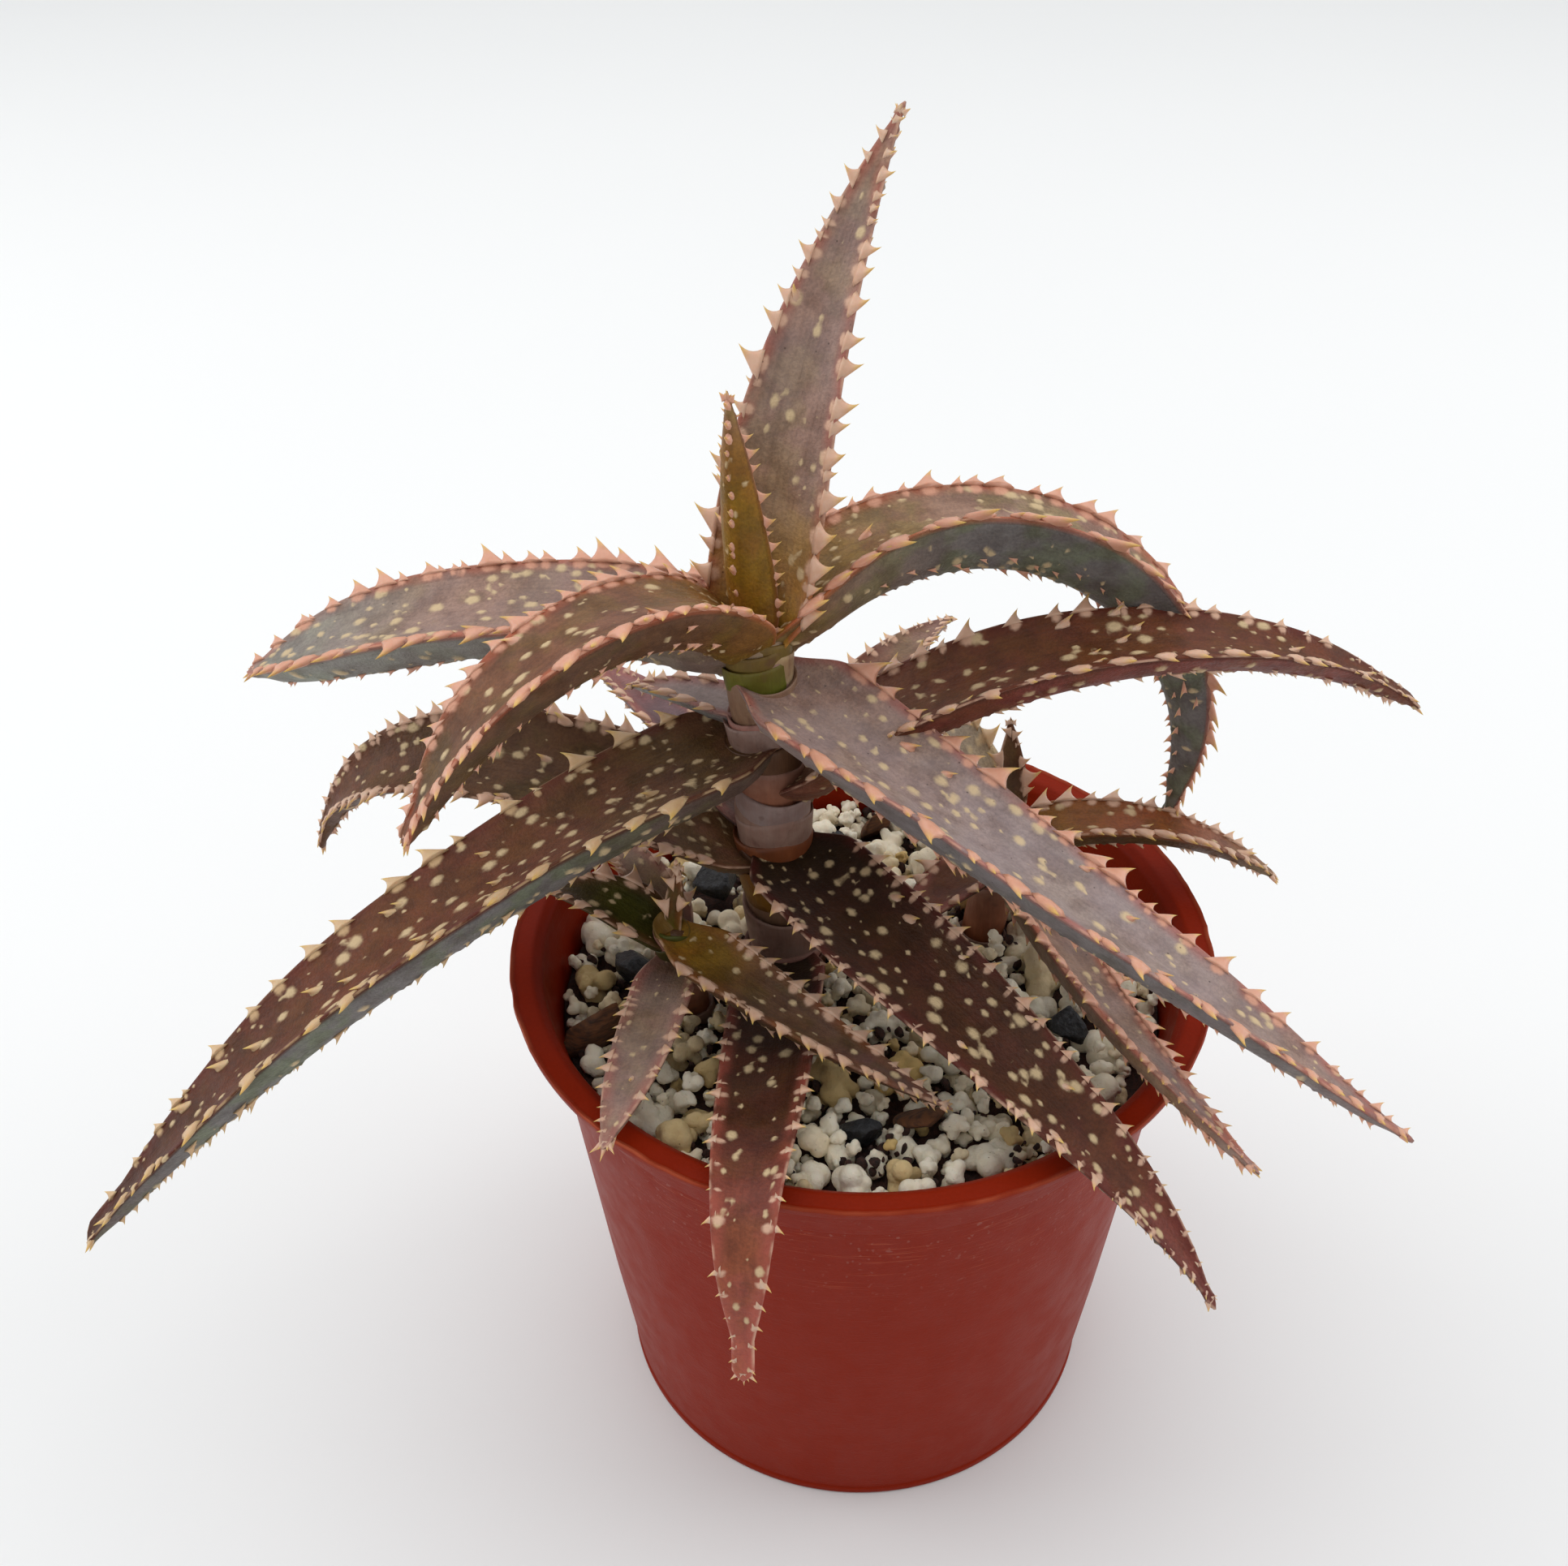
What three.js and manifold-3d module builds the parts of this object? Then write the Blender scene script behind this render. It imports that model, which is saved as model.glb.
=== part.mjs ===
// Potted aloe hybrid: a nursery pot of gritty mix, a leafy main stem and two offsets.
// Millimetres, +Z up. The origin is the centre of the pot's underside.
// +X is to the right and +Y to the back of the plant's best side.
import * as THREE from 'three';
import { mergeVertices } from 'three/addons/utils/BufferGeometryUtils.js';
import Module from 'manifold-3d';

const wasm = await Module();
wasm.setup();

const DEGREE = Math.PI / 180;

// Clearance between two pieces that touch
const GAP = 0.3;

// Pot: outer sizes, then the wall and the holes under it
const POT_HEIGHT = 73.5;
const RIM_RADIUS = 45;
const RIM_INNER_RADIUS = 42;
const RIM_THICKNESS = 1.2;
const FOOT_RADIUS = 33.5;
const FOOT_RING_HEIGHT = 1.2;
const WALL_THICKNESS = 1.1;
const COLLAR_BOTTOM = 64.5;
const COLLAR_STEP = 0.5;
const WALL_TOP_RADIUS = 40.1;
const POT_SIDES = 40;
const DRAIN_HOLE_RADIUS = 3.5;
const DRAIN_HOLE_CIRCLE = 21;
const DRAIN_HOLES = 5;
const DRAIN_HOLE_SIDES = 10;

// Grit: level at the pot's axis, its rise towards the front, and the lumps on it
const GRIT_LEVEL = 66;
const GRIT_SLOPE = 0.035;
const GRIT_RINGS = 14;
const GRIT_SECTORS = 6;
const LUMP_COUNT = 110;
const LUMP_RADIUS_MIN = 2.8;
const LUMP_RADIUS_MAX = 4.8;
const LUMP_HEIGHT_SHARE = 0.75;
const LUMP_LIFT = 1.2;
const LUMP_TURN = 137.5;
const LUMP_SEED = 41;
const GRIT_HOLLOW = 1.5;

// Leaf detail: rows along a leaf, size and pitch of the teeth
const ROW_LENGTH = 8;
const ROWS_MIN = 6;
const TOOTH_HEIGHT = 2.5;
const TOOTH_BASE = 2.9;
const TOOTH_PITCH = 5.3;
const PRICKLE_HEIGHT = 1.0;
const PRICKLE_PITCH = 12;
const TOOTH_SUNK = 0.9;
const TOOTH_LEAN = 0.3;
const EDGE_THICKNESS = 0.7;
const FOOT_SWELL = 0.12;
const FOOT_WIDTH = 0.8;
const LINE_STEPS = 60;
const TOOTH_STEPS = 120;
const TOOTH_SEED = 7;

// Stems: foot, top and radius; the sheaths of old leaves ring them
const STEMS = {
  main: {
    name: 'main_stem', colour: 0xa07a72, bottom: [-8.5, 5, 44], top: [-12.8, 5, 114],
    radius: 5.2, topRadius: 3.8, sheaths: 8, sides: 11,
  },
  left: {
    name: 'left_offset_stem', colour: 0x8a7a52, bottom: [-21, -3, 56], top: [-23.5, -7, 80.5],
    radius: 3.0, topRadius: 1.9, sheaths: 2, sides: 9,
  },
  right: {
    name: 'right_offset_stem', colour: 0x94725f, bottom: [15, 11, 54], top: [19.5, 14, 82.5],
    radius: 3.4, topRadius: 2.2, sheaths: 2, sides: 9,
  },
};

// Leaves, the youngest of each stem first. z is the height of the leaf's foot on its stem,
// azimuth and turn are its compass line and how far it swings, rise and droop are its slope
// at the foot and at the tip, bend is how late it bends or fold is the stretch where it folds
// over the rim, taper is how late it narrows, roll tips it about its own line and channel is
// how far its margins stand up.
const LEAVES = [
  {
    name: 'leaf_crown', stem: 'main', colour: 0x70592c, z: 113, azimuth: 215, turn: 27,
    rise: 86, droop: 83, bend: 1, length: 35, width: 7.6, thick: 2.6, taper: 1.9, roll: 10, channel: 0.25,
  },
  {
    name: 'leaf_right_arching', stem: 'main', colour: 0x7c5f45, z: 115.5, azimuth: 35, turn: -65,
    rise: 39, droop: -112, bend: 1.1, length: 91, width: 14.4, thick: 5.4, taper: 2.35, roll: -11,
    channel: 0.37,
  },
  {
    name: 'leaf_back_upright', stem: 'main', colour: 0x7b685e, z: 113.5, azimuth: 59, turn: -15,
    rise: 81, droop: 51, bend: 1, length: 63.5, width: 13.8, thick: 4.4, taper: 1.8, roll: 15, channel: 0.22,
  },
  {
    name: 'leaf_left_arching', stem: 'main', colour: 0x7d5646, z: 115, azimuth: 221, turn: -5,
    rise: 78, droop: -64, bend: 0.64, length: 59, width: 13.6, thick: 5.6, taper: 1.8, roll: 9, channel: 0.2,
  },
  {
    name: 'leaf_left_high', stem: 'main', colour: 0x85756f, z: 116, azimuth: 172, turn: 3,
    rise: 28, droop: -29, bend: 0.62, length: 68, width: 13, thick: 5.2, taper: 2.5, roll: -9, channel: 0.25,
  },
  {
    name: 'leaf_front_right_broad', stem: 'main', colour: 0x8b7b7d, z: 110.5, azimuth: -38, turn: 18,
    rise: -14, droop: -27, bend: 1, length: 91, width: 17.6, thick: 4.6, taper: 1.8, roll: -12, channel: 0.26,
  },
  {
    name: 'leaf_back_short', stem: 'main', colour: 0x8f7f80, z: 104, azimuth: 150, turn: 0,
    rise: 8, droop: -20, bend: 1, length: 21, width: 7, thick: 2.6, taper: 2, roll: 0, channel: 0.3,
  },
  {
    name: 'leaf_front_left_long', stem: 'main', colour: 0x70524a, z: 101.5, azimuth: 212, turn: -5,
    rise: -4, droop: -48, bend: 1.05, length: 103, width: 16.8, thick: 5.4, taper: 2.7, roll: 10,
    channel: 0.26,
  },
  {
    name: 'leaf_right_back', stem: 'main', colour: 0x5f3c33, z: 93.5, azimuth: 2, turn: 9,
    rise: 40, droop: -40, bend: 1.25, length: 89, width: 13.8, thick: 4.7, taper: 2.2, roll: 1, channel: 0.29,
  },
  {
    name: 'leaf_back', stem: 'main', colour: 0x6a4f47, z: 90, azimuth: 57, turn: 4,
    rise: 26, droop: -14, bend: 1, length: 47, width: 10.5, thick: 3.8, taper: 1.9, roll: 0, channel: 0.28,
  },
  {
    name: 'leaf_back_left', stem: 'main', colour: 0x6b5a66, z: 86, azimuth: 130, turn: 6,
    rise: 22, droop: -4, bend: 1, length: 44, width: 9.5, thick: 3.4, taper: 1.9, roll: 0, channel: 0.28,
  },
  {
    name: 'leaf_left_back_low', stem: 'main', colour: 0x5c4839, z: 82.5, azimuth: 176, turn: -11,
    rise: 27, droop: -79, bend: 2, length: 75.5, width: 15, thick: 4.4, taper: 2, roll: -26, channel: 0.29,
  },
  {
    name: 'leaf_front_dark', stem: 'main', colour: 0x4f3c37, z: 85, azimuth: -57.5, turn: 26,
    rise: 1.5, droop: -57, bend: 2, length: 81, width: 15.2, thick: 3.2, taper: 1.95, roll: 7, channel: 0.24,
  },
  {
    name: 'leaf_front_hanging', stem: 'main', colour: 0x70403a, z: 67.5, azimuth: -92, turn: 0,
    rise: 12, droop: -80, fold: [0.6, 0.86], length: 76, width: 11.6, thick: 2.6, taper: 2.6, roll: 4,
    channel: 0.2,
  },
  {
    name: 'left_offset_leaf_centre', stem: 'left', colour: 0x6f5530, z: 79, azimuth: 70, turn: 0,
    rise: 78, droop: 70, bend: 1, length: 10, width: 3.4, thick: 1.6, taper: 1.8, roll: 0, channel: 0.3,
  },
  {
    name: 'left_offset_leaf_left', stem: 'left', colour: 0x5d5a33, z: 77.5, azimuth: 161, turn: -6,
    rise: 42, droop: -32, bend: 1.1, length: 21, width: 8.6, thick: 3, taper: 2.1, roll: -5, channel: 0.26,
  },
  {
    name: 'left_offset_leaf_right', stem: 'left', colour: 0x665a5b, z: 80, azimuth: -43, turn: 19,
    rise: -4, droop: -12, bend: 1, length: 42, width: 9.8, thick: 2.8, taper: 1.75, roll: -8, channel: 0.25,
  },
  {
    name: 'left_offset_leaf_back', stem: 'left', colour: 0x604f52, z: 76, azimuth: 112, turn: 16,
    rise: 28, droop: -20, bend: 0.9, length: 27, width: 8.2, thick: 2.8, taper: 1.7, roll: 4, channel: 0.26,
  },
  {
    name: 'left_offset_leaf_front', stem: 'left', colour: 0x7b6b70, z: 76, azimuth: -97, turn: -3,
    rise: 4, droop: 0, bend: 1, length: 34, width: 8, thick: 2.6, taper: 3.3, roll: 8, channel: 0.18,
  },
  {
    name: 'right_offset_leaf_centre', stem: 'right', colour: 0x4c3f3c, z: 80.5, azimuth: 86, turn: 8,
    rise: 73, droop: 55, bend: 1, length: 15, width: 5.6, thick: 2, taper: 1.7, roll: 0, channel: 0.25,
  },
  {
    name: 'right_offset_leaf_right', stem: 'right', colour: 0x665532, z: 79.5, azimuth: 2, turn: -6,
    rise: 24, droop: -42, bend: 1, length: 39, width: 8.4, thick: 3.4, taper: 2.1, roll: -2, channel: 0.24,
  },
  {
    name: 'right_offset_leaf_back', stem: 'right', colour: 0x75766a, z: 77.5, azimuth: 118, turn: -6,
    rise: 48, droop: 22, bend: 1, length: 26, width: 9, thick: 3, taper: 1.9, roll: 0, channel: 0.26,
  },
  {
    name: 'right_offset_leaf_front', stem: 'right', colour: 0x7c6d74, z: 78.5, azimuth: -78, turn: 26,
    rise: 5, droop: -9, bend: 1, length: 60, width: 8.8, thick: 3.8, taper: 2, roll: -22, channel: 0.22,
  },
  {
    name: 'right_offset_leaf_left', stem: 'right', colour: 0x7a5352, z: 77, azimuth: 226, turn: 8,
    rise: 10, droop: -12, bend: 1, length: 23, width: 9, thick: 2.6, taper: 2, roll: 0, channel: 0.3,
  },
];

// Seeded random numbers between 0 and 1
function randomFrom(seed) {
  let state = seed;
  return () => {
    state = (state + 0x6d2b79f5) | 0;
    let t = Math.imul(state ^ (state >>> 15), 1 | state);
    t = (t + Math.imul(t ^ (t >>> 7), 61 | t)) ^ t;
    return ((t ^ (t >>> 14)) >>> 0) / 4294967296;
  };
}

function vector([x, y, z]) {
  return new THREE.Vector3(x, y, z);
}

// Closed geometry with shared vertices, from any three.js geometry
function weld(geometry) {
  const bare = geometry.index ? geometry : geometry.clone();
  bare.deleteAttribute('normal');
  bare.deleteAttribute('uv');
  const merged = mergeVertices(bare, 1e-4);
  const index = Array.from(merged.index.array);
  const kept = [];
  for (let i = 0; i < index.length; i += 3) {
    const [a, b, c] = index.slice(i, i + 3);
    if (a !== b && b !== c && c !== a) {
      kept.push(a, b, c);
    }
  }
  merged.setIndex(kept);
  return merged;
}

function signedVolume(position, index) {
  const corners = [new THREE.Vector3(), new THREE.Vector3(), new THREE.Vector3()];
  let sum = 0;
  for (let i = 0; i < index.length; i += 3) {
    corners.forEach((corner, k) => corner.fromArray(position, 3 * index[i + k]));
    sum += corners[0].dot(corners[1].cross(corners[2])) / 6;
  }
  return sum;
}

// Solid for joining and cutting, always with its faces pointing out
function toSolid(geometry) {
  const welded = weld(geometry);
  const vertProperties = Float32Array.from(welded.attributes.position.array);
  const triVerts = Uint32Array.from(welded.index.array);
  if (signedVolume(vertProperties, triVerts) < 0) {
    for (let i = 0; i < triVerts.length; i += 3) {
      [triVerts[i], triVerts[i + 1]] = [triVerts[i + 1], triVerts[i]];
    }
  }
  return new wasm.Manifold(new wasm.Mesh({ numProp: 3, vertProperties, triVerts }));
}

function toGeometry(solid) {
  const mesh = solid.getMesh();
  const geometry = new THREE.BufferGeometry();
  geometry.setAttribute('position', new THREE.BufferAttribute(Float32Array.from(mesh.vertProperties), 3));
  geometry.setIndex(Array.from(mesh.triVerts));
  geometry.computeVertexNormals();
  return geometry;
}

// The biggest body of a cut piece, without loose scraps
function mainBody(solid) {
  const bodies = solid.decompose();
  return bodies.reduce((best, body) => (body.numTri() > best.numTri() ? body : best));
}

function indexedGeometry(points, index) {
  const geometry = new THREE.BufferGeometry();
  geometry.setAttribute('position', new THREE.Float32BufferAttribute(points.flatMap((p) => p.toArray()), 3));
  geometry.setIndex(index);
  return geometry;
}

// Skin over a row of rings of equal count, closed by a fan at each end
function loft(rings) {
  const count = rings[0].length;
  const points = rings.flat();
  const index = [];
  for (let row = 0; row < rings.length - 1; row += 1) {
    for (let k = 0; k < count; k += 1) {
      const a = row * count + k;
      const b = row * count + ((k + 1) % count);
      index.push(a, b, a + count, b, b + count, a + count);
    }
  }
  const ends = [rings[0], rings[rings.length - 1]];
  ends.forEach((ring, end) => {
    const centre = new THREE.Vector3();
    ring.forEach((p) => centre.addScaledVector(p, 1 / count));
    const hub = points.push(centre) - 1;
    const start = end * (rings.length - 1) * count;
    for (let k = 0; k < count; k += 1) {
      const pair = [start + k, start + ((k + 1) % count)];
      index.push(hub, pair[1 - end], pair[end]);
    }
  });
  return indexedGeometry(points, index);
}

function lathe(profile, sides) {
  const points = profile.map(([radius, height]) => new THREE.Vector2(radius, height));
  return new THREE.LatheGeometry(points, sides).rotateX(Math.PI / 2);
}

// Pot: a thin tapered cup with a collar and a flat rim, and round drain holes
function potRadius(height) {
  return FOOT_RADIUS + ((WALL_TOP_RADIUS - FOOT_RADIUS) * height) / COLLAR_BOTTOM;
}

function potInside(clearance) {
  const inset = WALL_THICKNESS + clearance;
  return [
    [potRadius(WALL_THICKNESS) - inset, WALL_THICKNESS + clearance],
    [potRadius(COLLAR_BOTTOM) - inset, COLLAR_BOTTOM],
    [RIM_INNER_RADIUS - inset, POT_HEIGHT - RIM_THICKNESS],
    [RIM_INNER_RADIUS - clearance, POT_HEIGHT],
  ];
}

function makePot() {
  const underRim = POT_HEIGHT - RIM_THICKNESS;
  const outside = [
    [0, 0],
    [FOOT_RADIUS - 0.5, 0],
    [FOOT_RADIUS, 0.5],
    [FOOT_RADIUS, FOOT_RING_HEIGHT],
    [potRadius(FOOT_RING_HEIGHT) - 0.3, FOOT_RING_HEIGHT + 0.2],
    [potRadius(COLLAR_BOTTOM), COLLAR_BOTTOM - 0.3],
    [potRadius(COLLAR_BOTTOM) + COLLAR_STEP, COLLAR_BOTTOM],
    [RIM_INNER_RADIUS + 0.2, underRim],
    [RIM_RADIUS - 0.3, underRim - 0.3],
    [RIM_RADIUS, POT_HEIGHT - 0.4],
    [RIM_RADIUS - 0.5, POT_HEIGHT],
  ];
  const inside = potInside(0).reverse();
  const cup = toSolid(lathe([...outside, ...inside, [0, WALL_THICKNESS]], POT_SIDES));
  return Array.from({ length: DRAIN_HOLES }).reduce((solid, _, i) => {
    const angle = (i * 2 * Math.PI) / DRAIN_HOLES;
    const sizes = [DRAIN_HOLE_RADIUS, DRAIN_HOLE_RADIUS, 4 * WALL_THICKNESS];
    const hole = new THREE.CylinderGeometry(...sizes, DRAIN_HOLE_SIDES);
    hole.rotateX(Math.PI / 2);
    hole.translate(DRAIN_HOLE_CIRCLE * Math.cos(angle), DRAIN_HOLE_CIRCLE * Math.sin(angle), 0);
    return solid.subtract(toSolid(hole));
  }, cup);
}

// Grit: a fill that follows the pot's inside, with rough lumps over its top
function gritLevel(y) {
  return GRIT_LEVEL - GRIT_SLOPE * y;
}

function makeLumps() {
  const random = randomFrom(LUMP_SEED);
  const reach = potRadius(GRIT_LEVEL) - WALL_THICKNESS - LUMP_RADIUS_MIN;
  return Array.from({ length: LUMP_COUNT }, (_, i) => {
    // Sunflower spacing covers the whole disc evenly
    const distance = reach * Math.sqrt((i + 0.5) / LUMP_COUNT);
    const angle = i * LUMP_TURN * DEGREE + 0.3 * random();
    const radius = THREE.MathUtils.lerp(LUMP_RADIUS_MIN, LUMP_RADIUS_MAX, random() ** 1.4);
    const lift = LUMP_LIFT * random();
    return { x: distance * Math.cos(angle), y: distance * Math.sin(angle), radius, lift };
  });
}

function gritHeight(x, y, lumps) {
  const heights = lumps.map((lump) => {
    const share = Math.hypot(x - lump.x, y - lump.y) / lump.radius;
    return share < 1 ? lump.lift + LUMP_HEIGHT_SHARE * lump.radius * Math.sqrt(1 - share * share) : 0;
  });
  return gritLevel(y) - GRIT_HOLLOW + Math.max(...heights);
}

function ringPoints(radius, count, height) {
  return Array.from({ length: count }, (_, k) => {
    const angle = (k * 2 * Math.PI) / count;
    const x = radius * Math.cos(angle);
    const y = radius * Math.sin(angle);
    return vector([x, y, height(x, y)]);
  });
}

// Rings of points, each with one more point in every sector than the ring inside it
function makeGrit() {
  const lumps = makeLumps();
  const facetSag = RIM_RADIUS * (1 - Math.cos(Math.PI / POT_SIDES));
  const [floor, shoulder] = potInside(GAP + facetSag);
  const points = [vector([0, 0, gritHeight(0, 0, lumps)])];
  const index = [];
  let inner = 0;
  for (let ring = 1; ring <= GRIT_RINGS; ring += 1) {
    const outer = points.length;
    const innerCount = Math.max(1, GRIT_SECTORS * (ring - 1));
    const radius = (shoulder[0] * ring) / GRIT_RINGS;
    points.push(...ringPoints(radius, GRIT_SECTORS * ring, (x, y) => gritHeight(x, y, lumps)));
    for (let sector = 0; sector < GRIT_SECTORS; sector += 1) {
      for (let j = 0; j < ring; j += 1) {
        const a = outer + sector * ring + j;
        const b = outer + ((sector * ring + j + 1) % (GRIT_SECTORS * ring));
        const c = inner + ((sector * (ring - 1) + j) % innerCount);
        const d = inner + ((sector * (ring - 1) + j + 1) % innerCount);
        index.push(a, b, c);
        if (j < ring - 1) {
          index.push(c, b, d);
        }
      }
    }
    inner = outer;
  }
  const count = GRIT_SECTORS * GRIT_RINGS;
  points.push(...ringPoints(shoulder[0], count, () => COLLAR_BOTTOM - 2));
  points.push(...ringPoints(floor[0], count, () => floor[1]));
  const hub = points.push(vector([0, 0, floor[1]])) - 1;
  for (let k = 0; k < count; k += 1) {
    const next = (k + 1) % count;
    [inner, inner + count].forEach((row) => {
      index.push(row + k, row + k + count, row + next, row + next, row + k + count, row + next + count);
    });
    index.push(inner + 2 * count + k, hub, inner + 2 * count + next);
  }
  return toSolid(indexedGeometry(points, index));
}

// Stem: a leaning column ringed by the cupped sheaths of old leaves
function stemPoint(stem, z) {
  const foot = vector(stem.bottom);
  const top = vector(stem.top);
  return foot.lerp(top, (z - stem.bottom[2]) / (stem.top[2] - stem.bottom[2]));
}

function stemRadius(stem, z) {
  const t = (z - stem.bottom[2]) / (stem.top[2] - stem.bottom[2]);
  return THREE.MathUtils.lerp(stem.radius, stem.topRadius, Math.max(0, t) ** 1.6);
}

function makeStem(stem, grow = 0) {
  const height = stem.top[2] - stem.bottom[2];
  const rings = [];
  const addRing = (z, radius) => {
    const centre = stemPoint(stem, z);
    rings.push(Array.from({ length: stem.sides }, (_, k) => {
      const angle = (k * 2 * Math.PI) / stem.sides;
      return centre.clone().add(vector([radius * Math.cos(angle), radius * Math.sin(angle), 0]));
    }));
  };
  addRing(stem.bottom[2] - grow, 0.6 * stem.radius + grow);
  for (let i = 0; i < stem.sheaths; i += 1) {
    const low = stem.bottom[2] + ((i + 0.25) * height) / (stem.sheaths + 1);
    const lip = stem.bottom[2] + ((i + 1.1) * height) / (stem.sheaths + 1);
    addRing(low, 0.92 * stemRadius(stem, low) + grow);
    addRing(lip, stemRadius(stem, lip) + grow);
  }
  addRing(stem.top[2] - 1, stem.topRadius + grow);
  addRing(stem.top[2] + grow, 0.4 * stem.topRadius + grow);
  return toSolid(loft(rings));
}

// Leaf: stations along its line, each with the directions along, across and up
function leafWidth(leaf, s) {
  if (s < FOOT_SWELL) {
    return THREE.MathUtils.lerp(FOOT_WIDTH, 1, Math.sin((s / FOOT_SWELL) * (Math.PI / 2)));
  }
  return 1 - ((s - FOOT_SWELL) / (1 - FOOT_SWELL)) ** leaf.taper;
}

function leafStations(leaf, count) {
  const foot = stemPoint(STEMS[leaf.stem], leaf.z);
  const heading = (s) => {
    const azimuth = (leaf.azimuth + leaf.turn * s) * DEGREE;
    const bent = leaf.fold ? THREE.MathUtils.smoothstep(s, ...leaf.fold) : s ** leaf.bend;
    const slope = THREE.MathUtils.lerp(leaf.rise, leaf.droop, bent) * DEGREE;
    const along = vector([
      Math.cos(slope) * Math.cos(azimuth), Math.cos(slope) * Math.sin(azimuth), Math.sin(slope),
    ]);
    const across = vector([-Math.sin(azimuth), Math.cos(azimuth), 0]);
    across.applyAxisAngle(along, leaf.roll * DEGREE * Math.min(1, s / 0.3));
    return { along, across, up: along.clone().cross(across) };
  };
  const line = [foot];
  for (let i = 0; i < LINE_STEPS; i += 1) {
    const step = heading((i + 0.5) / LINE_STEPS).along.multiplyScalar(leaf.length / LINE_STEPS);
    line.push(line[i].clone().add(step));
  }
  return Array.from({ length: count + 1 }, (_, i) => {
    const s = i / count;
    const k = Math.min(LINE_STEPS - 1, Math.floor(s * LINE_STEPS));
    const point = line[k].clone().lerp(line[k + 1], s * LINE_STEPS - k);
    const half = Math.max(0.5, (leaf.width / 2) * leafWidth(leaf, s));
    const full = Math.min(1, 0.25 + 0.75 * leafWidth(leaf, s));
    const depth = Math.max(EDGE_THICKNESS + 0.2, leaf.thick * full * Math.min(1, (1 - s) / 0.06) ** 0.5);
    return { s, point, half, depth, ...heading(s) };
  });
}

// Point on a leaf's face: k runs from -1 to 1 across it
function facePoint(station, leaf, k, isUpper, grow = 0) {
  const rise = leaf.channel * station.half * k * k;
  const belly = (station.depth - EDGE_THICKNESS) * (1 - Math.abs(k) ** 2.2) + EDGE_THICKNESS;
  const height = isUpper ? rise + grow : rise - belly - grow;
  const out = k * (station.half + grow);
  return station.point.clone().addScaledVector(station.across, out).addScaledVector(station.up, height);
}

const UPPER_STEPS = [-1, 0, 1];
const LOWER_STEPS = [0.94, 0.5, -0.5, -0.94];

function leafRows(leaf) {
  return Math.max(ROWS_MIN, Math.round(leaf.length / ROW_LENGTH));
}

function makeLeafBody(leaf, grow = 0) {
  const stations = leafStations(leaf, leafRows(leaf));
  stations[0].point.addScaledVector(stations[0].along, -grow);
  stations[stations.length - 1].point.addScaledVector(stations[stations.length - 1].along, grow);
  const rings = stations.map((station) => [
    ...UPPER_STEPS.map((k) => facePoint(station, leaf, k, true, grow)),
    ...LOWER_STEPS.map((k) => facePoint(station, leaf, k, false, grow)),
  ]);
  return toSolid(loft(rings));
}

// Tooth: a three-sided spike whose root is sunk in the leaf
function spike(root, along, out, up, height, base) {
  const sunk = root.clone().addScaledVector(out, -TOOTH_SUNK);
  const corners = [
    sunk.clone().addScaledVector(along, -base / 2),
    sunk.clone().addScaledVector(along, base / 2),
    sunk.clone().addScaledVector(up, -0.45 * base).addScaledVector(out, -0.2),
    root.clone().addScaledVector(out, height).addScaledVector(along, TOOTH_LEAN * height),
  ];
  return { solid: toSolid(indexedGeometry(corners, [0, 1, 3, 1, 2, 3, 2, 0, 3, 0, 2, 1])), corners };
}

function marginTeeth(leaf, random) {
  const teeth = [];
  const fine = leafStations(leaf, TOOTH_STEPS);
  const start = leaf.width * 0.45 / leaf.length + 0.03;
  [-1, 1].forEach((side) => {
    let s = start + (0.4 * TOOTH_PITCH * random()) / leaf.length;
    while (s < 0.985) {
      const station = fine[Math.round(s * TOOTH_STEPS)];
      const size = (1 - 0.35 * s) * Math.min(1, 0.35 + leaf.width / 13) * (0.85 + 0.3 * random());
      const lift = station.up.clone().multiplyScalar(leaf.channel + 0.25 * (random() - 0.3));
      const out = station.across.clone().multiplyScalar(side).add(lift).normalize();
      const root = facePoint(station, leaf, side, true).addScaledVector(station.up, -0.3);
      teeth.push(spike(root, station.along, out, station.up, TOOTH_HEIGHT * size, TOOTH_BASE * size));
      s += (TOOTH_PITCH * (0.65 + 0.35 * size) * (0.85 + 0.3 * random())) / leaf.length;
    }
  });
  return teeth;
}

// Crown of teeth at a leaf's very tip
function tipTeeth(leaf) {
  const [tip] = leafStations(leaf, LINE_STEPS).slice(-1);
  const size = Math.min(1, 0.4 + leaf.width / 14);
  return [-1, 0, 1].map((side) => {
    const out = tip.along.clone().addScaledVector(tip.across, 0.8 * side).normalize();
    const along = tip.across.clone().addScaledVector(tip.along, -0.4 * side).normalize();
    const root = tip.point.clone().addScaledVector(tip.up, -0.15).addScaledVector(tip.along, -0.2);
    root.addScaledVector(tip.across, 0.25 * side);
    return spike(root, along, out, tip.up, (side === 0 ? 2.2 : 1.5) * size, 0.9);
  });
}

// Small prickles along the keel, on the outer part of a long leaf
function keelPrickles(leaf, random) {
  const prickles = [];
  const fine = leafStations(leaf, TOOTH_STEPS);
  const pitch = PRICKLE_PITCH / leaf.length;
  for (let s = 0.42; leaf.length > 50 && s < 0.93; s += pitch * (0.8 + 0.4 * random())) {
    const station = fine[Math.round(s * TOOTH_STEPS)];
    const out = station.up.clone().negate();
    const root = facePoint(station, leaf, 0.3 * (random() - 0.5), false);
    prickles.push(spike(root, station.along, out, station.across, PRICKLE_HEIGHT, 1.4));
  }
  return prickles;
}

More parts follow.
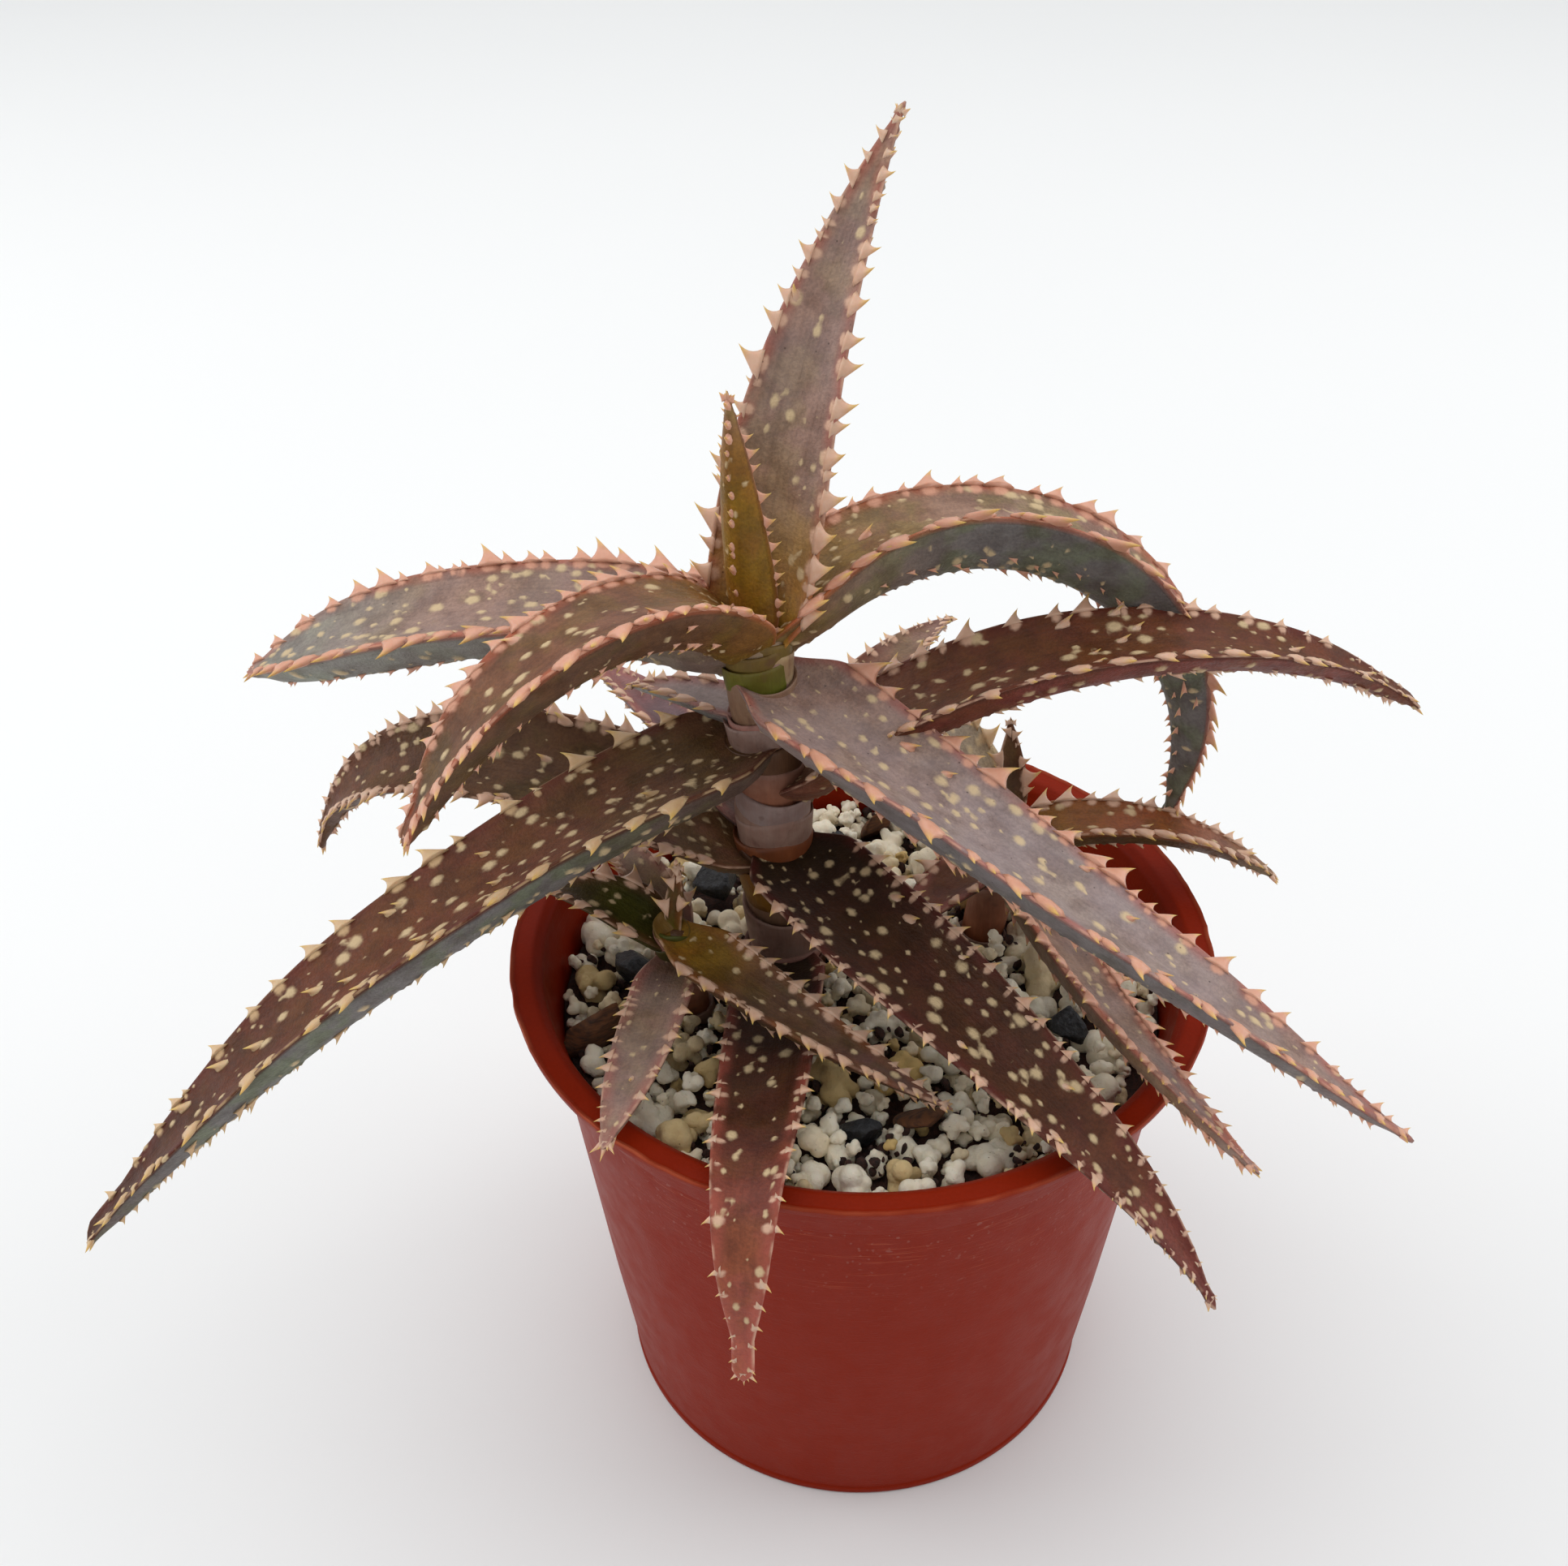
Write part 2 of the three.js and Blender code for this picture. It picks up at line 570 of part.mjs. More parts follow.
// Whether a point lies in or close to a leaf's body
function isNearLeaf(point, leaf, clearance) {
  return leaf.stations.some((station) => {
    const offset = point.clone().sub(station.point);
    if (Math.abs(offset.dot(station.along)) > leaf.length / LINE_STEPS + clearance) {
      return false;
    }
    const k = Math.min(1, Math.abs(offset.dot(station.across)) / station.half);
    const height = offset.dot(station.up) - leaf.channel * station.half * k * k;
    return Math.abs(offset.dot(station.across)) < station.half + clearance
      && height < clearance && height > -station.depth - clearance;
  });
}

function isNearStem(point, stem, clearance) {
  const centre = stemPoint(stem, point.z);
  const distance = Math.hypot(point.x - centre.x, point.y - centre.y);
  return point.z < stem.top[2] + clearance && distance < stem.radius + clearance;
}

function isNearPot(point, clearance) {
  const radius = Math.hypot(point.x, point.y);
  return point.z < POT_HEIGHT + clearance && radius < RIM_RADIUS + clearance
    && radius > potRadius(point.z) - 2 * clearance;
}

function makeLeaves() {
  const random = randomFrom(TOOTH_SEED);
  const leaves = LEAVES.map((leaf) => ({ ...leaf, stations: leafStations(leaf, LINE_STEPS) }));
  const stems = Object.values(STEMS);
  const grownStems = stems.map((stem) => makeStem(stem, GAP));
  const grownLeaves = leaves.map((leaf) => makeLeafBody(leaf, GAP));
  return leaves.map((leaf, i) => {
    const isClear = ({ corners }) => {
      const probes = corners.map((corner) => corner.clone().lerp(corners[3], 0.6));
      return probes.every((p) => !isNearPot(p, 0.4)
        && !stems.some((stem) => isNearStem(p, stem, 0.6))
        && !leaves.some((other) => other !== leaf && isNearLeaf(p, other, 0.8)));
    };
    const spikes = [...marginTeeth(leaf, random), ...tipTeeth(leaf), ...keelPrickles(leaf, random)];
    const toothed = spikes.filter(isClear).reduce((sum, { solid }) => sum.add(solid), makeLeafBody(leaf));
    const cutters = [...grownStems, ...grownLeaves.slice(0, i)];
    const cut = cutters.reduce((solid, cutter) => solid.subtract(cutter), toothed);
    return { name: leaf.name, colour: leaf.colour, solid: mainBody(cut), grown: grownLeaves[i] };
  });
}

function addMesh(group, name, solid, colour, roughness) {
  const material = new THREE.MeshStandardMaterial({ color: colour, roughness, metalness: 0 });
  const mesh = new THREE.Mesh(toGeometry(solid), material);
  mesh.name = name;
  group.add(mesh);
}

function makeAloe() {
  const group = new THREE.Group();
  const leaves = makeLeaves();
  const stems = Object.values(STEMS);
  const grit = [...stems.map((stem) => makeStem(stem, GAP)), ...leaves.map((leaf) => leaf.grown)]
    .reduce((solid, cutter) => solid.subtract(cutter), makeGrit());
  addMesh(group, 'pot', makePot(), 0xa0442d, 0.5);
  addMesh(group, 'soil', mainBody(grit), 0xd3cbb0, 0.95);
  stems.forEach((stem) => addMesh(group, stem.name, makeStem(stem), stem.colour, 0.6));
  leaves.forEach(({ name, solid, colour }) => addMesh(group, name, solid, colour, 0.5));
  return group;
}

export default makeAloe();
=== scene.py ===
import bmesh
import bpy
import numpy as np
from mathutils import Matrix, Vector


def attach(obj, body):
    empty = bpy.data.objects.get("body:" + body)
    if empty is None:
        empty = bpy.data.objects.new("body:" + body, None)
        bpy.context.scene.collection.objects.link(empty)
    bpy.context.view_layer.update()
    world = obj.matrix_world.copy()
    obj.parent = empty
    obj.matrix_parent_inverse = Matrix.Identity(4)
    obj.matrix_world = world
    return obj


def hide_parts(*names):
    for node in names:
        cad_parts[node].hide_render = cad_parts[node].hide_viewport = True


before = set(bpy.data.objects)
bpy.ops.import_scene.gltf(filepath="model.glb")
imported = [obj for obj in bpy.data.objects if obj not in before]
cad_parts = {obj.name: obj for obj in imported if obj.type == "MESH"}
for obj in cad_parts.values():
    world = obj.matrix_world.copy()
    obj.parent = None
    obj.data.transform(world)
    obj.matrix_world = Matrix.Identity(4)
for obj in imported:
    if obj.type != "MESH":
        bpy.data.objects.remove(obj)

bl_info = {
    "name": "Potted aloe hybrid",
    "version": (1, 0, 0),
    "blender": (4, 5, 0),
    "location": "3D View > Sidebar > Aloe",
    "description": "Builds a spotted aloe, its gritty mix and its nursery pot",
    "category": "Object",
}

MM = 0.001
DEGREE = np.pi / 180
BODY = "root"
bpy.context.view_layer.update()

# Pot, as in the solids
POT_HEIGHT = 73.5
RIM_RADIUS = 45.0
RIM_INNER_RADIUS = 42.0
RIM_THICKNESS = 1.2
FOOT_RADIUS = 33.5
FOOT_RING_HEIGHT = 1.2
WALL_THICKNESS = 1.1
COLLAR_BOTTOM = 64.5
COLLAR_STEP = 0.5
WALL_TOP_RADIUS = 40.1
DRAIN_HOLE_RADIUS = 3.5
DRAIN_HOLE_CIRCLE = 21.0
DRAIN_HOLES = 5
GRIT_LEVEL = 66.0
GRIT_SLOPE = 0.035

# Leaf form, common to all leaves
EDGE_THICKNESS = 0.7
FOOT_SWELL = 0.12
FOOT_WIDTH = 0.8
FOOT_CLASP = 0.62
CLASP_LENGTH = 7.0
ROLL_SHARE = 0.3  # share of the length over which a leaf turns to its roll
FACE_CURVE = 2.2  # power of the swelling between the margins
EDGE_ROUNDING = 0.5
NOSE_WIDTH = 0.085  # half width of a blunt tip, as a share of the leaf's width
NOSE_LENGTH = 1.5
THIN_END = 0.06  # share of the length over which the tip thins out
LINE_STEPS = 60

# Spots, teeth and prickles
SPOT_BANDS = (1.5, 3.1)  # least and largest distance from one band of spots to the next
SPOT_CROWD = 0.46  # spots in a band for each millimetre of the half width
SPOT_REACH = 0.86  # share of the half width that has spots
SPOT_CLEARANCE = 0.55  # least squared distance of two spots, 1 where they just touch
TOOTH_SIZES = (0.65, 1.2)
TOOTH_GAPS = (0.65, 1.4)
SMALL_TEETH = 0.25  # share of the teeth that are half as tall
TOOTH_INSET = 0.6
TIP_SPINE_FAN = np.array([-1.0, -0.45, 0.0, 0.5, 1.0])
TIP_SPINE_LIFT = np.array([0.1, 0.35, 0.0, 0.3, 0.1])
TIP_SPINE_HEIGHT = np.array([1.7, 1.2, 2.2, 1.2, 1.7])
TIP_SPINE_PLACE = 0.992  # share of the length
MARGIN_BAND = 3.0  # width of the flush along a margin
EDGE_WAVE = 0.22
EDGE_WAVE_LENGTH = 6.5  # millimetres for each radian of the wave
KEEL_LINES = (-0.55, 0.0, 0.5)  # shares of the half width
FACE_APART = 40.0  # keeps the patterns of a leaf's two faces from being alike

STEMS = {
    "main": dict(node="main_stem", bottom=(-8.5, 5, 44), top=(-12.8, 5, 114),
                 radius=5.2, top_radius=3.8, sheaths=9),
    "left": dict(node="left_offset_stem", bottom=(-21, -3, 56), top=(-23.5, -7, 80.5),
                 radius=3.0, top_radius=1.9, sheaths=3),
    "right": dict(node="right_offset_stem", bottom=(15, 11, 54), top=(19.5, 14, 82.5),
                  radius=3.4, top_radius=2.2, sheaths=3),
}

# Pigments of the leaves, from the green of young skin to the wine and slate of old skin in the sun
PIGMENTS = {
    "moss": "5c6a1c", "olive": "625627", "amber": "8a5f1a", "khaki": "a08f74", "rust": "864722",
    "brown": "78503a", "russet": "65351f", "umber": "5f412b", "taupe": "8c6e55", "mauve": "94776a",
    "lilac": "958480", "sage": "878780", "slate": "4c5650", "plum": "66494e", "coffee": "4a2617",
    "soot": "2e1d12", "brick": "ab5546", "wine": "5c211c", "coral": "bc5c3f", "rose": "a8645a",
    "peach": "dba389", "shell": "d9b197", "cream": "cfae84", "maroon": "773c32",
    # The last, a dark olive, is partly the skin's own olive and partly painted shade, for the low left
    # offset that lies under the big leaves
    "sand": "b9a68a", "ochre": "b8862f", "pewter": "6f6c6a", "fern": "413b14",
}

# Each leaf's form, close to its solid's; its skin at the sheath, the foot, the middle, the tip and
# underneath, the flush along its margin and its horn; then how much wax bloom, how many spots and
# how many spines it has, how far its teeth stand apart and how large they are
LEAF_FIELDS = ("name", "stem", "z", "azimuth", "turn", "rise", "droop", "bend", "length", "width",
               "thick", "taper", "roll", "channel", "skin", "flush", "horn", "bloom", "spots",
               "spines", "apart", "bite")
LEAVES = [dict(zip(LEAF_FIELDS, row)) for row in (
    ("leaf_crown", "main", 113, 215, 27, 86, 83, 1, 35, 7.6, 2.6, 1.9, 10, 0.25,
     "moss rust amber mauve amber", "rust", "peach", 0.05, 0.9, 0.1, 0.8, 0.7),
    ("leaf_right_arching", "main", 115.5, 35, -63.3, 40.4, -114.5, 1.12, 92.8, 14, 6.2, 3.1, -11, 0.37,
     "olive amber mauve pewter pewter", "coral", "peach", 0.15, 1.5, 0.7, 0.85, 1.0),
    ("leaf_back_upright", "main", 113.5, 59, -14.8, 81, 52, 1.02, 63.5, 13.8, 4.4, 1.8, 16, 0.22,
     "khaki ochre mauve mauve lilac", "brick", "shell", 0.3, 1.0, 0.4, 0.9, 0.95),
    ("leaf_left_arching", "main", 115, 221, -5, 78, -64, 0.64, 59, 13.6, 5.6, 3.1, 9, 0.2,
     "olive amber brown umber umber", "coral", "peach", 0.1, 1.6, 0.7, 0.8, 1.0),
    ("leaf_left_high", "main", 115.2, 172, 3, 27.2, -29, 0.55, 68, 13.4, 6.8, 6.5, -9.5, 0.25,
     "khaki brown mauve sage sage", "coral", "peach", 0.35, 2.1, 0.6, 0.8, 1.0),
    ("leaf_front_right_broad", "main", 110.5, -38, 17.3, -13.4, -28.2, 1, 91, 17.6, 4.6, 1.8, -12, 0.26,
     "taupe mauve lilac mauve pewter", "brick", "peach", 0.55, 1.3, 0.8, 0.95, 1.1),
    ("leaf_back_short", "main", 104, 150, 0, 8, -20, 1, 21, 7, 2.6, 2, 0, 0.3,
     "mauve lilac lilac mauve sage", "rose", "shell", 0.5, 0.5, 0.1, 0.8, 0.8),
    ("leaf_front_left_long", "main", 101.5, 212, -5, -4, -48, 1.05, 103, 16.8, 5.4, 2.7, 10, 0.26,
     "umber umber russet coffee pewter", "wine", "cream", 0.02, 1.8, 1.0, 1.4, 0.95),
    ("leaf_right_back", "main", 93.5, 2, 8.5, 40.9, -40.6, 1.29, 89, 13.9, 4.7, 2.6, 1, 0.29,
     "lilac brown russet russet maroon", "wine", "shell", 0.05, 1.8, 1.0, 1.1, 0.75),
    ("leaf_back", "main", 90, 57, 4, 26, -14, 1, 47, 10.5, 3.8, 1.9, 0, 0.28,
     "mauve umber brown mauve taupe", "wine", "shell", 0.2, 0.9, 0.4, 0.9, 0.7),
    ("leaf_back_left", "main", 86, 130, 6, 22, -4, 1, 44, 9.5, 3.4, 1.9, 0, 0.28,
     "rust umber plum rose plum", "rose", "shell", 0.4, 0.5, 0.4, 0.9, 0.7),
    ("leaf_left_back_low", "main", 82.5, 176, -11, 27, -79, 2, 75.5, 15, 4.6, 2.8, -26, 0.29,
     "amber brown umber russet umber", "russet", "shell", 0.05, 2.0, 1.0, 0.8, 0.65),
    ("leaf_front_dark", "main", 85, -57.5, 26, 1.5, -57, 2, 81, 15.2, 3.2, 1.95, 7, 0.24,
     "umber soot coffee maroon slate", "wine", "shell", 0.02, 2.0, 0.8, 1.05, 0.5),
    ("leaf_front_hanging", "main", 67.5, -92, 0, 12, -80, (0.6, 0.86), 76, 11.6, 2.6, 2.6, 4, 0.2,
     "russet soot coffee brick umber", "brick", "shell", 0.05, 1.4, 0.6, 1.6, 0.45),
    # The left offset's dark olive is partly painted shade, where the big leaves above shade it
    ("left_offset_leaf_centre", "left", 79, 70, 0, 78, 70, 1, 10, 3.4, 1.6, 1.8, 0, 0.3,
     "fern moss fern umber fern", "rust", "shell", 0, 0.3, 0, 0.8, 0.7),
    ("left_offset_leaf_left", "left", 77.5, 161, -6, 42, -32, 1.1, 21, 8.6, 3, 2.1, -5, 0.26,
     "fern fern fern coffee fern", "russet", "shell", 0, 0.9, 0.3, 0.8, 0.8),
    ("left_offset_leaf_right", "left", 80, -43, 19, -4, -12, 1, 42, 9.8, 2.8, 1.75, -8, 0.25,
     "olive amber umber plum umber", "rust", "shell", 0.1, 1.2, 0.5, 0.75, 0.85),
    ("left_offset_leaf_back", "left", 76, 112, 16, 28, -20, 0.9, 27, 8.2, 2.8, 1.7, 4, 0.26,
     "mauve umber taupe mauve taupe", "rose", "shell", 0.3, 0.8, 0.2, 0.8, 0.75),
    ("left_offset_leaf_front", "left", 76, -97, -3, 4, 0, 1, 34, 8, 2.6, 3.3, 8, 0.18,
     "rose umber mauve mauve taupe", "rose", "shell", 0.3, 0.9, 0.3, 1.0, 0.45),
    ("right_offset_leaf_centre", "right", 80.5, 86, 8, 73, 55, 1, 15, 5.6, 2, 1.7, 0, 0.25,
     "olive umber umber brown umber", "russet", "shell", 0.05, 1.2, 0.2, 0.8, 0.7),
    ("right_offset_leaf_right", "right", 79.5, 2, -6, 24, -42, 1, 39, 8.4, 3.4, 2.1, -2, 0.24,
     "amber amber rust mauve umber", "rust", "shell", 0.05, 1.1, 0.6, 0.75, 0.8),
    ("right_offset_leaf_back", "right", 77.5, 118, -6, 48, 22, 1, 26, 9, 3, 1.9, 0, 0.26,
     "khaki sand sand sage khaki", "khaki", "cream", 0.4, 0.9, 0.3, 0.9, 0.8),
    ("right_offset_leaf_front", "right", 78.5, -78, 26, 5, -9, 1, 60, 8.8, 3.8, 2, -22, 0.22,
     "rose brown mauve lilac taupe", "coral", "peach", 0.4, 1.0, 0.5, 0.75, 0.75),
    ("right_offset_leaf_left", "right", 77, 226, 8, 10, -12, 1, 23, 9, 2.6, 2, 0, 0.3,
     "rose mauve russet brick umber", "rose", "shell", 0.15, 0.6, 0.2, 0.8, 0.7),
)]

# Black charcoal lumps and brown bark in the mix: x, y, radius and how far they stand up
CHARCOAL = [(-20.5, 18.1, 5.0, 1.6), (-29.0, -1.0, 4.0, 1.2), (-26.5, -14.5, 3.5, 0.8),
            (0.6, -27.6, 2.9, 0.6), (26.5, -9.0, 2.8, 0.5), (-3.0, 27.0, 3.4, 0.8),
            (27.0, 16.0, 3.0, 0.6), (-30.0, 12.0, 2.6, 0.4)]
BARK = [(-33.5, -11.5, 3.6, 0.8), (7.8, -25.9, 2.8, 0.9), (2.0, 33.0, 3.0, 0.6),
        (31.5, 2.0, 2.6, 0.6), (-10.0, -22.0, 2.0, 0.4)]


def linear(hex_colour):
    """Linear red, green, blue and alpha of an sRGB hex colour."""
    parts = [int(hex_colour[i:i + 2], 16) / 255 for i in (0, 2, 4)]
    return [c / 12.92 if c <= 0.04045 else ((c + 0.055) / 1.055) ** 2.4 for c in parts] + [1.0]


def pigment(name):
    return np.array(linear(PIGMENTS[name]))


def colour_property(name, description, hex_colour):
    return bpy.props.FloatVectorProperty(
        name=name, description=description, subtype="COLOR", size=4, min=0, max=1,
        default=linear(hex_colour))


def length_property(name, description, millimetres):
    return bpy.props.FloatProperty(
        name=name, description=description, default=millimetres * MM, min=0,
        unit="LENGTH", subtype="DISTANCE")


class AloeSizes(bpy.types.PropertyGroup):
    mesh_step: length_property("Mesh step", "Distance between points on a leaf", 0.5)
    tooth_height: length_property("Tooth height", "Tallest teeth on a leaf's margin", 2.6)
    tooth_base: length_property("Tooth base", "Length of a tooth's foot along the margin", 4.2)
    tooth_pitch: length_property("Tooth pitch", "Distance from tooth to tooth", 4.3)
    prickle_height: length_property("Prickle height", "Spines on the leaf faces", 1.3)
    keel_pitch: length_property("Keel pitch", "Distance between the low teeth of a keel", 2.1)
    spot_length: length_property("Spot length", "Longest cream spot, along the leaf", 3.0)
    spot_relief: length_property("Spot relief", "How far a spot stands up", 0.14)
    nodule_largest: length_property("Largest nodule", "Radius of the largest pumice grain", 3.7)
    nodule_smallest: length_property("Smallest nodule", "Radius of the smallest one", 0.9)
    lip_roughness: length_property("Lip roughness", "How far the pot's lip wavers", 0.16)
    seed: bpy.props.IntProperty(name="Seed", description="Seed of every random draw", default=11)


class AloeColours(bpy.types.PropertyGroup):
    spot: colour_property("Spots", "Cream spots of the skin", "d9c096")
    bloom: colour_property("Bloom", "Grey wax over the skin", "968b8f")
    speck: colour_property("Specks", "Small dark specks of the skin", "241a18")
    tooth_tip: colour_property("Tooth tips", "Horny ends of teeth and prickles", "dcb95c")
    sheath_dark: colour_property("Sheath shade", "Stained parts of the sheaths", "5c3a30")
    pumice: colour_property("Pumice", "Clean pumice grains", "f8f0dc")
    pumice_stain: colour_property("Pumice stain", "Stained pumice grains", "d0b273")
    charcoal: colour_property("Charcoal", "Charcoal lumps", "16171a")
    bark: colour_property("Bark", "Bark pieces", "6f4426")
    fines: colour_property("Fines", "Dark crumbs between the grains", "43241b")
    plastic: colour_property("Pot", "Moulded pot", "821f07")
    # This colour paints the scuffs on the collar and also a painted highlight along the lip's edge
    plastic_scuff_and_highlight: colour_property("Pot lip", "Scuffed plastic at the lip", "b4583a")
    floor: colour_property("Floor", "Studio floor", "f0f1f1")


def sizes():
    return bpy.context.scene.aloe_sizes


def colours():
    return bpy.context.scene.aloe_colours


def in_mm(value):
    return value / MM


# Materials

SOFT_STEP = ("ShaderNodeMapRange", {"interpolation_type": "SMOOTHSTEP"})
PRODUCT = ("ShaderNodeMath", {"operation": "MULTIPLY"})

# Tones multiply the colour below a pattern: factors of red, green and blue, not colours
TONES = {
    "blotch": (0.5, 0.44, 0.42, 1), "grain": (1.7, 1.66, 1.6, 1), "rib": (0.5, 0.42, 0.4, 1),
    "green": (0.86, 1.08, 0.66, 1), "horn": (0.8, 0.62, 0.5, 1), "sheath": (0.6, 0.42, 0.36, 1),
    "fibre": (1.6, 1.5, 1.5, 1), "ash": (0.85, 0.74, 0.55, 1), "streak": (0.8, 0.7, 0.66, 1),
    "moulding": (1.5, 1.45, 1.4, 1), "paper": (0.8, 0.82, 0.84, 1),
}
# Colour of the darkened pores
PORE_DARKENING = "6f5545"
# Painted highlight: a grey that stands for the glint of charcoal's fracture faces
CHARCOAL_PAINTED_GLINT = "35373d"
BARK_SHADE = "3f291d"
FINES_SHADE = "16100d"
SCUFF_DUST = "cbada2"


def add_node(tree, kind, settings=None, links=None, output=0):
    """Adds a node and gives one of its outputs; a link is another output or a plain value."""
    node = tree.nodes.new(kind)
    for key, value in (settings or {}).items():
        setattr(node, key, value)
    for key, value in (links or {}).items():
        if isinstance(value, bpy.types.NodeSocket):
            tree.links.new(value, node.inputs[key])
        else:
            node.inputs[key].default_value = value
    return node.outputs[output]


def levels(value, low, high, start=0.0, end=1.0):
    """Links of a map range that takes the values from low to high to those from start to end."""
    return {"Value": value, "From Min": low, "From Max": high, "To Min": start, "To Max": end}


def new_material(name, uniform, stored=()):
    """Material, its tree, its shader, coordinates in millimetres and the mesh's stored values."""
    material = bpy.data.materials.new(name)
    material.use_nodes = True
    tree = material.node_tree
    shader = next(node for node in tree.nodes if node.type == "BSDF_PRINCIPLED")
    for key, value in uniform.items():
        shader.inputs[key].default_value = value
    metres = add_node(tree, "ShaderNodeTexCoord", {}, {}, "Object")
    links = {"Vector": metres, "Scale": 1 / MM}
    where = add_node(tree, "ShaderNodeVectorMath", {"operation": "SCALE"}, links)
    values = [add_node(tree, "ShaderNodeAttribute", {"attribute_name": key}, {}, output)
              for key, output in stored]
    return material, tree, shader, where, *values


def clouds(tree, where, size, detail=3.0, roughness=0.55):
    """Noise with clouds of this size in millimetres, or of these sizes along the three axes."""
    sizes_mm = [float(v) for v in np.broadcast_to(size, 3)]
    links = {0: where, 1: sizes_mm}
    scaled = add_node(tree, "ShaderNodeVectorMath", {"operation": "DIVIDE"}, links)
    links = {"Vector": scaled, "Scale": 1.0, "Detail": detail, "Roughness": roughness}
    return add_node(tree, "ShaderNodeTexNoise", {}, links)


def pattern(tree, where, size, low, high, detail=3.0, ends=(0.0, 1.0)):
    """Clouds cut with soft edges between two levels of their noise."""
    links = levels(clouds(tree, where, size, detail), low, high, *ends)
    return add_node(tree, *SOFT_STEP, links)


def cover(tree, base, share, strength, colour, blend="MIX"):
    """Lays a colour over the base, as far as the share and the strength say."""
    factor = add_node(tree, *PRODUCT, {0: share, 1: strength})
    settings = {"data_type": "RGBA", "blend_type": blend}
    return add_node(tree, "ShaderNodeMix", settings, {0: factor, 6: base, 7: colour}, 2)


def finish_material(tree, shader, links, relief=()):
    """Links the shader and lays bumps over each other: pattern, depth in millimetres, strength."""
    under = {}
    for height, depth, strength in relief:
        bump = {"Height": height, "Distance": depth * MM, "Strength": strength, **under}
        under = {"Normal": add_node(tree, "ShaderNodeBump", {}, bump)}
    for key, value in {**links, **under}.items():
        tree.links.new(value, shader.inputs[key])


def waxy_leaf_skin():
    """Aloe leaf, a thick skin grown with a thin wax: satin, mottled, spotted and faintly ribbed."""
    palette = colours()
    material, tree, shader, where, along, base, flush, horn, bloom, margin, spot, blot = new_material(
        "aloe_skin_waxy", {"IOR": 1.43, "Specular IOR Level": 0.27},
        [("leaf_mm", "Vector"), ("skin", "Color"), ("flush", "Color"), ("horn", "Color"),
         ("bloom", "Fac"), ("margin", "Fac"), ("spot", "Fac"), ("blot", "Fac")])
    # Blotches of 3 mm, a grain of 0.4 mm, drawn coarser than the real cells so that it shows, and
    # fine ribs that run along the leaf
    blotches = pattern(tree, where, 3.333, 0.38, 0.66)
    grain = pattern(tree, where, 0.3846, 0.3, 0.7, 2.0)
    ribs = pattern(tree, along, (16.67, 0.6667, 1), 0.4, 0.75, 2.0)
    # Green shows through in patches of half a centimetre, less so under the bloom
    hues = pattern(tree, where, 5.882, 0.42, 0.6)
    bare = add_node(tree, *SOFT_STEP, levels(bloom, 0.1, 0.45, 0.75, 0.1))
    for share, strength, tone in ((blotches, 0.6, "blotch"), (grain, 0.4, "grain"),
                                  (ribs, 0.25, "rib"), (hues, bare, "green")):
        base = cover(tree, base, share, strength, TONES[tone], "MULTIPLY")
    # The wax bloom lies in patches of 7 mm and leaves the skin greyer
    patches = pattern(tree, where, 7.143, 0.34, 0.62, 4.0)
    wax = add_node(tree, *PRODUCT, {0: bloom, 1: patches})
    base = cover(tree, base, wax, 0.6, palette.bloom)
    # The skin flushes towards the margins in clouds of 3 to 5 mm
    drifts = pattern(tree, along, (4.762, 3.333, 1.667), 0.36, 0.6, 2.0, (0.25, 1.0))
    near = add_node(tree, *SOFT_STEP, levels(margin, 0.3, 0.92))
    flushed = add_node(tree, *PRODUCT, {0: near, 1: drifts})
    base = cover(tree, base, flushed, 0.62, flush)
    # Spots are uneven, blurred at the rim and paler in the middle
    wander = pattern(tree, where, 1.111, 0.2, 0.8, 2.0, (-0.16, 0.14))
    for field, colour, inner, strength in ((spot, palette.spot, 0.62, 0.8), (blot, horn, 0.6, 0.85)):
        field = add_node(tree, "ShaderNodeMath", {"operation": "ADD"}, {0: field, 1: wander})
        inside = add_node(tree, *SOFT_STEP, levels(field, 0.0, inner))
        base = cover(tree, base, inside, strength, colour)
    # The very edge is a thin, broken line of horn
    ragged = pattern(tree, along, (2.5, 2.5, 1), 0.42, 0.6, 2.0)
    rim = add_node(tree, *SOFT_STEP, levels(margin, 0.86, 0.98, 0.0, 0.6))
    base = cover(tree, base, rim, ragged, horn)
    # Corky specks of a third of a millimetre, 1.7 mm apart, where the bloom is
    cells = add_node(tree, "ShaderNodeTexVoronoi", {}, {"Vector": where, "Scale": 1 / 1.6667})
    specks = add_node(tree, *SOFT_STEP, levels(cells, 0.04, 0.1, 1.0, 0.0))
    waxed = add_node(tree, *SOFT_STEP, levels(wax, 0.05, 0.3, 0.0, 0.6))
    base = cover(tree, base, specks, waxed, palette.speck)
    rough = pattern(tree, where, 1.111, 0.2, 0.8, 3.0, (0.42, 0.6))
    finish_material(tree, shader, {"Base Color": base, "Roughness": rough},
                    [(grain, 0.05, 0.8), (ribs, 0.06, 0.6)])
    return material


def horny_tooth():
    """Cartilage of the margin teeth, hardened as it grew: pale, a little translucent, glossy."""
    uniform = {"Roughness": 0.38, "IOR": 1.5, "Subsurface Weight": 0.2,
               "Subsurface Radius": (1.0, 0.45, 0.25), "Subsurface Scale": 0.8 * MM}
    material, tree, shader, where, skin = new_material(
        "aloe_tooth_horny", uniform, [("skin", "Color")])
    cloud = pattern(tree, where, 1.25, 0.3, 0.7)
    base = cover(tree, skin, cloud, 0.35, TONES["horn"], "MULTIPLY")
    finish_material(tree, shader, {"Base Color": base}, [(cloud, 0.05, 0.5)])
    return material


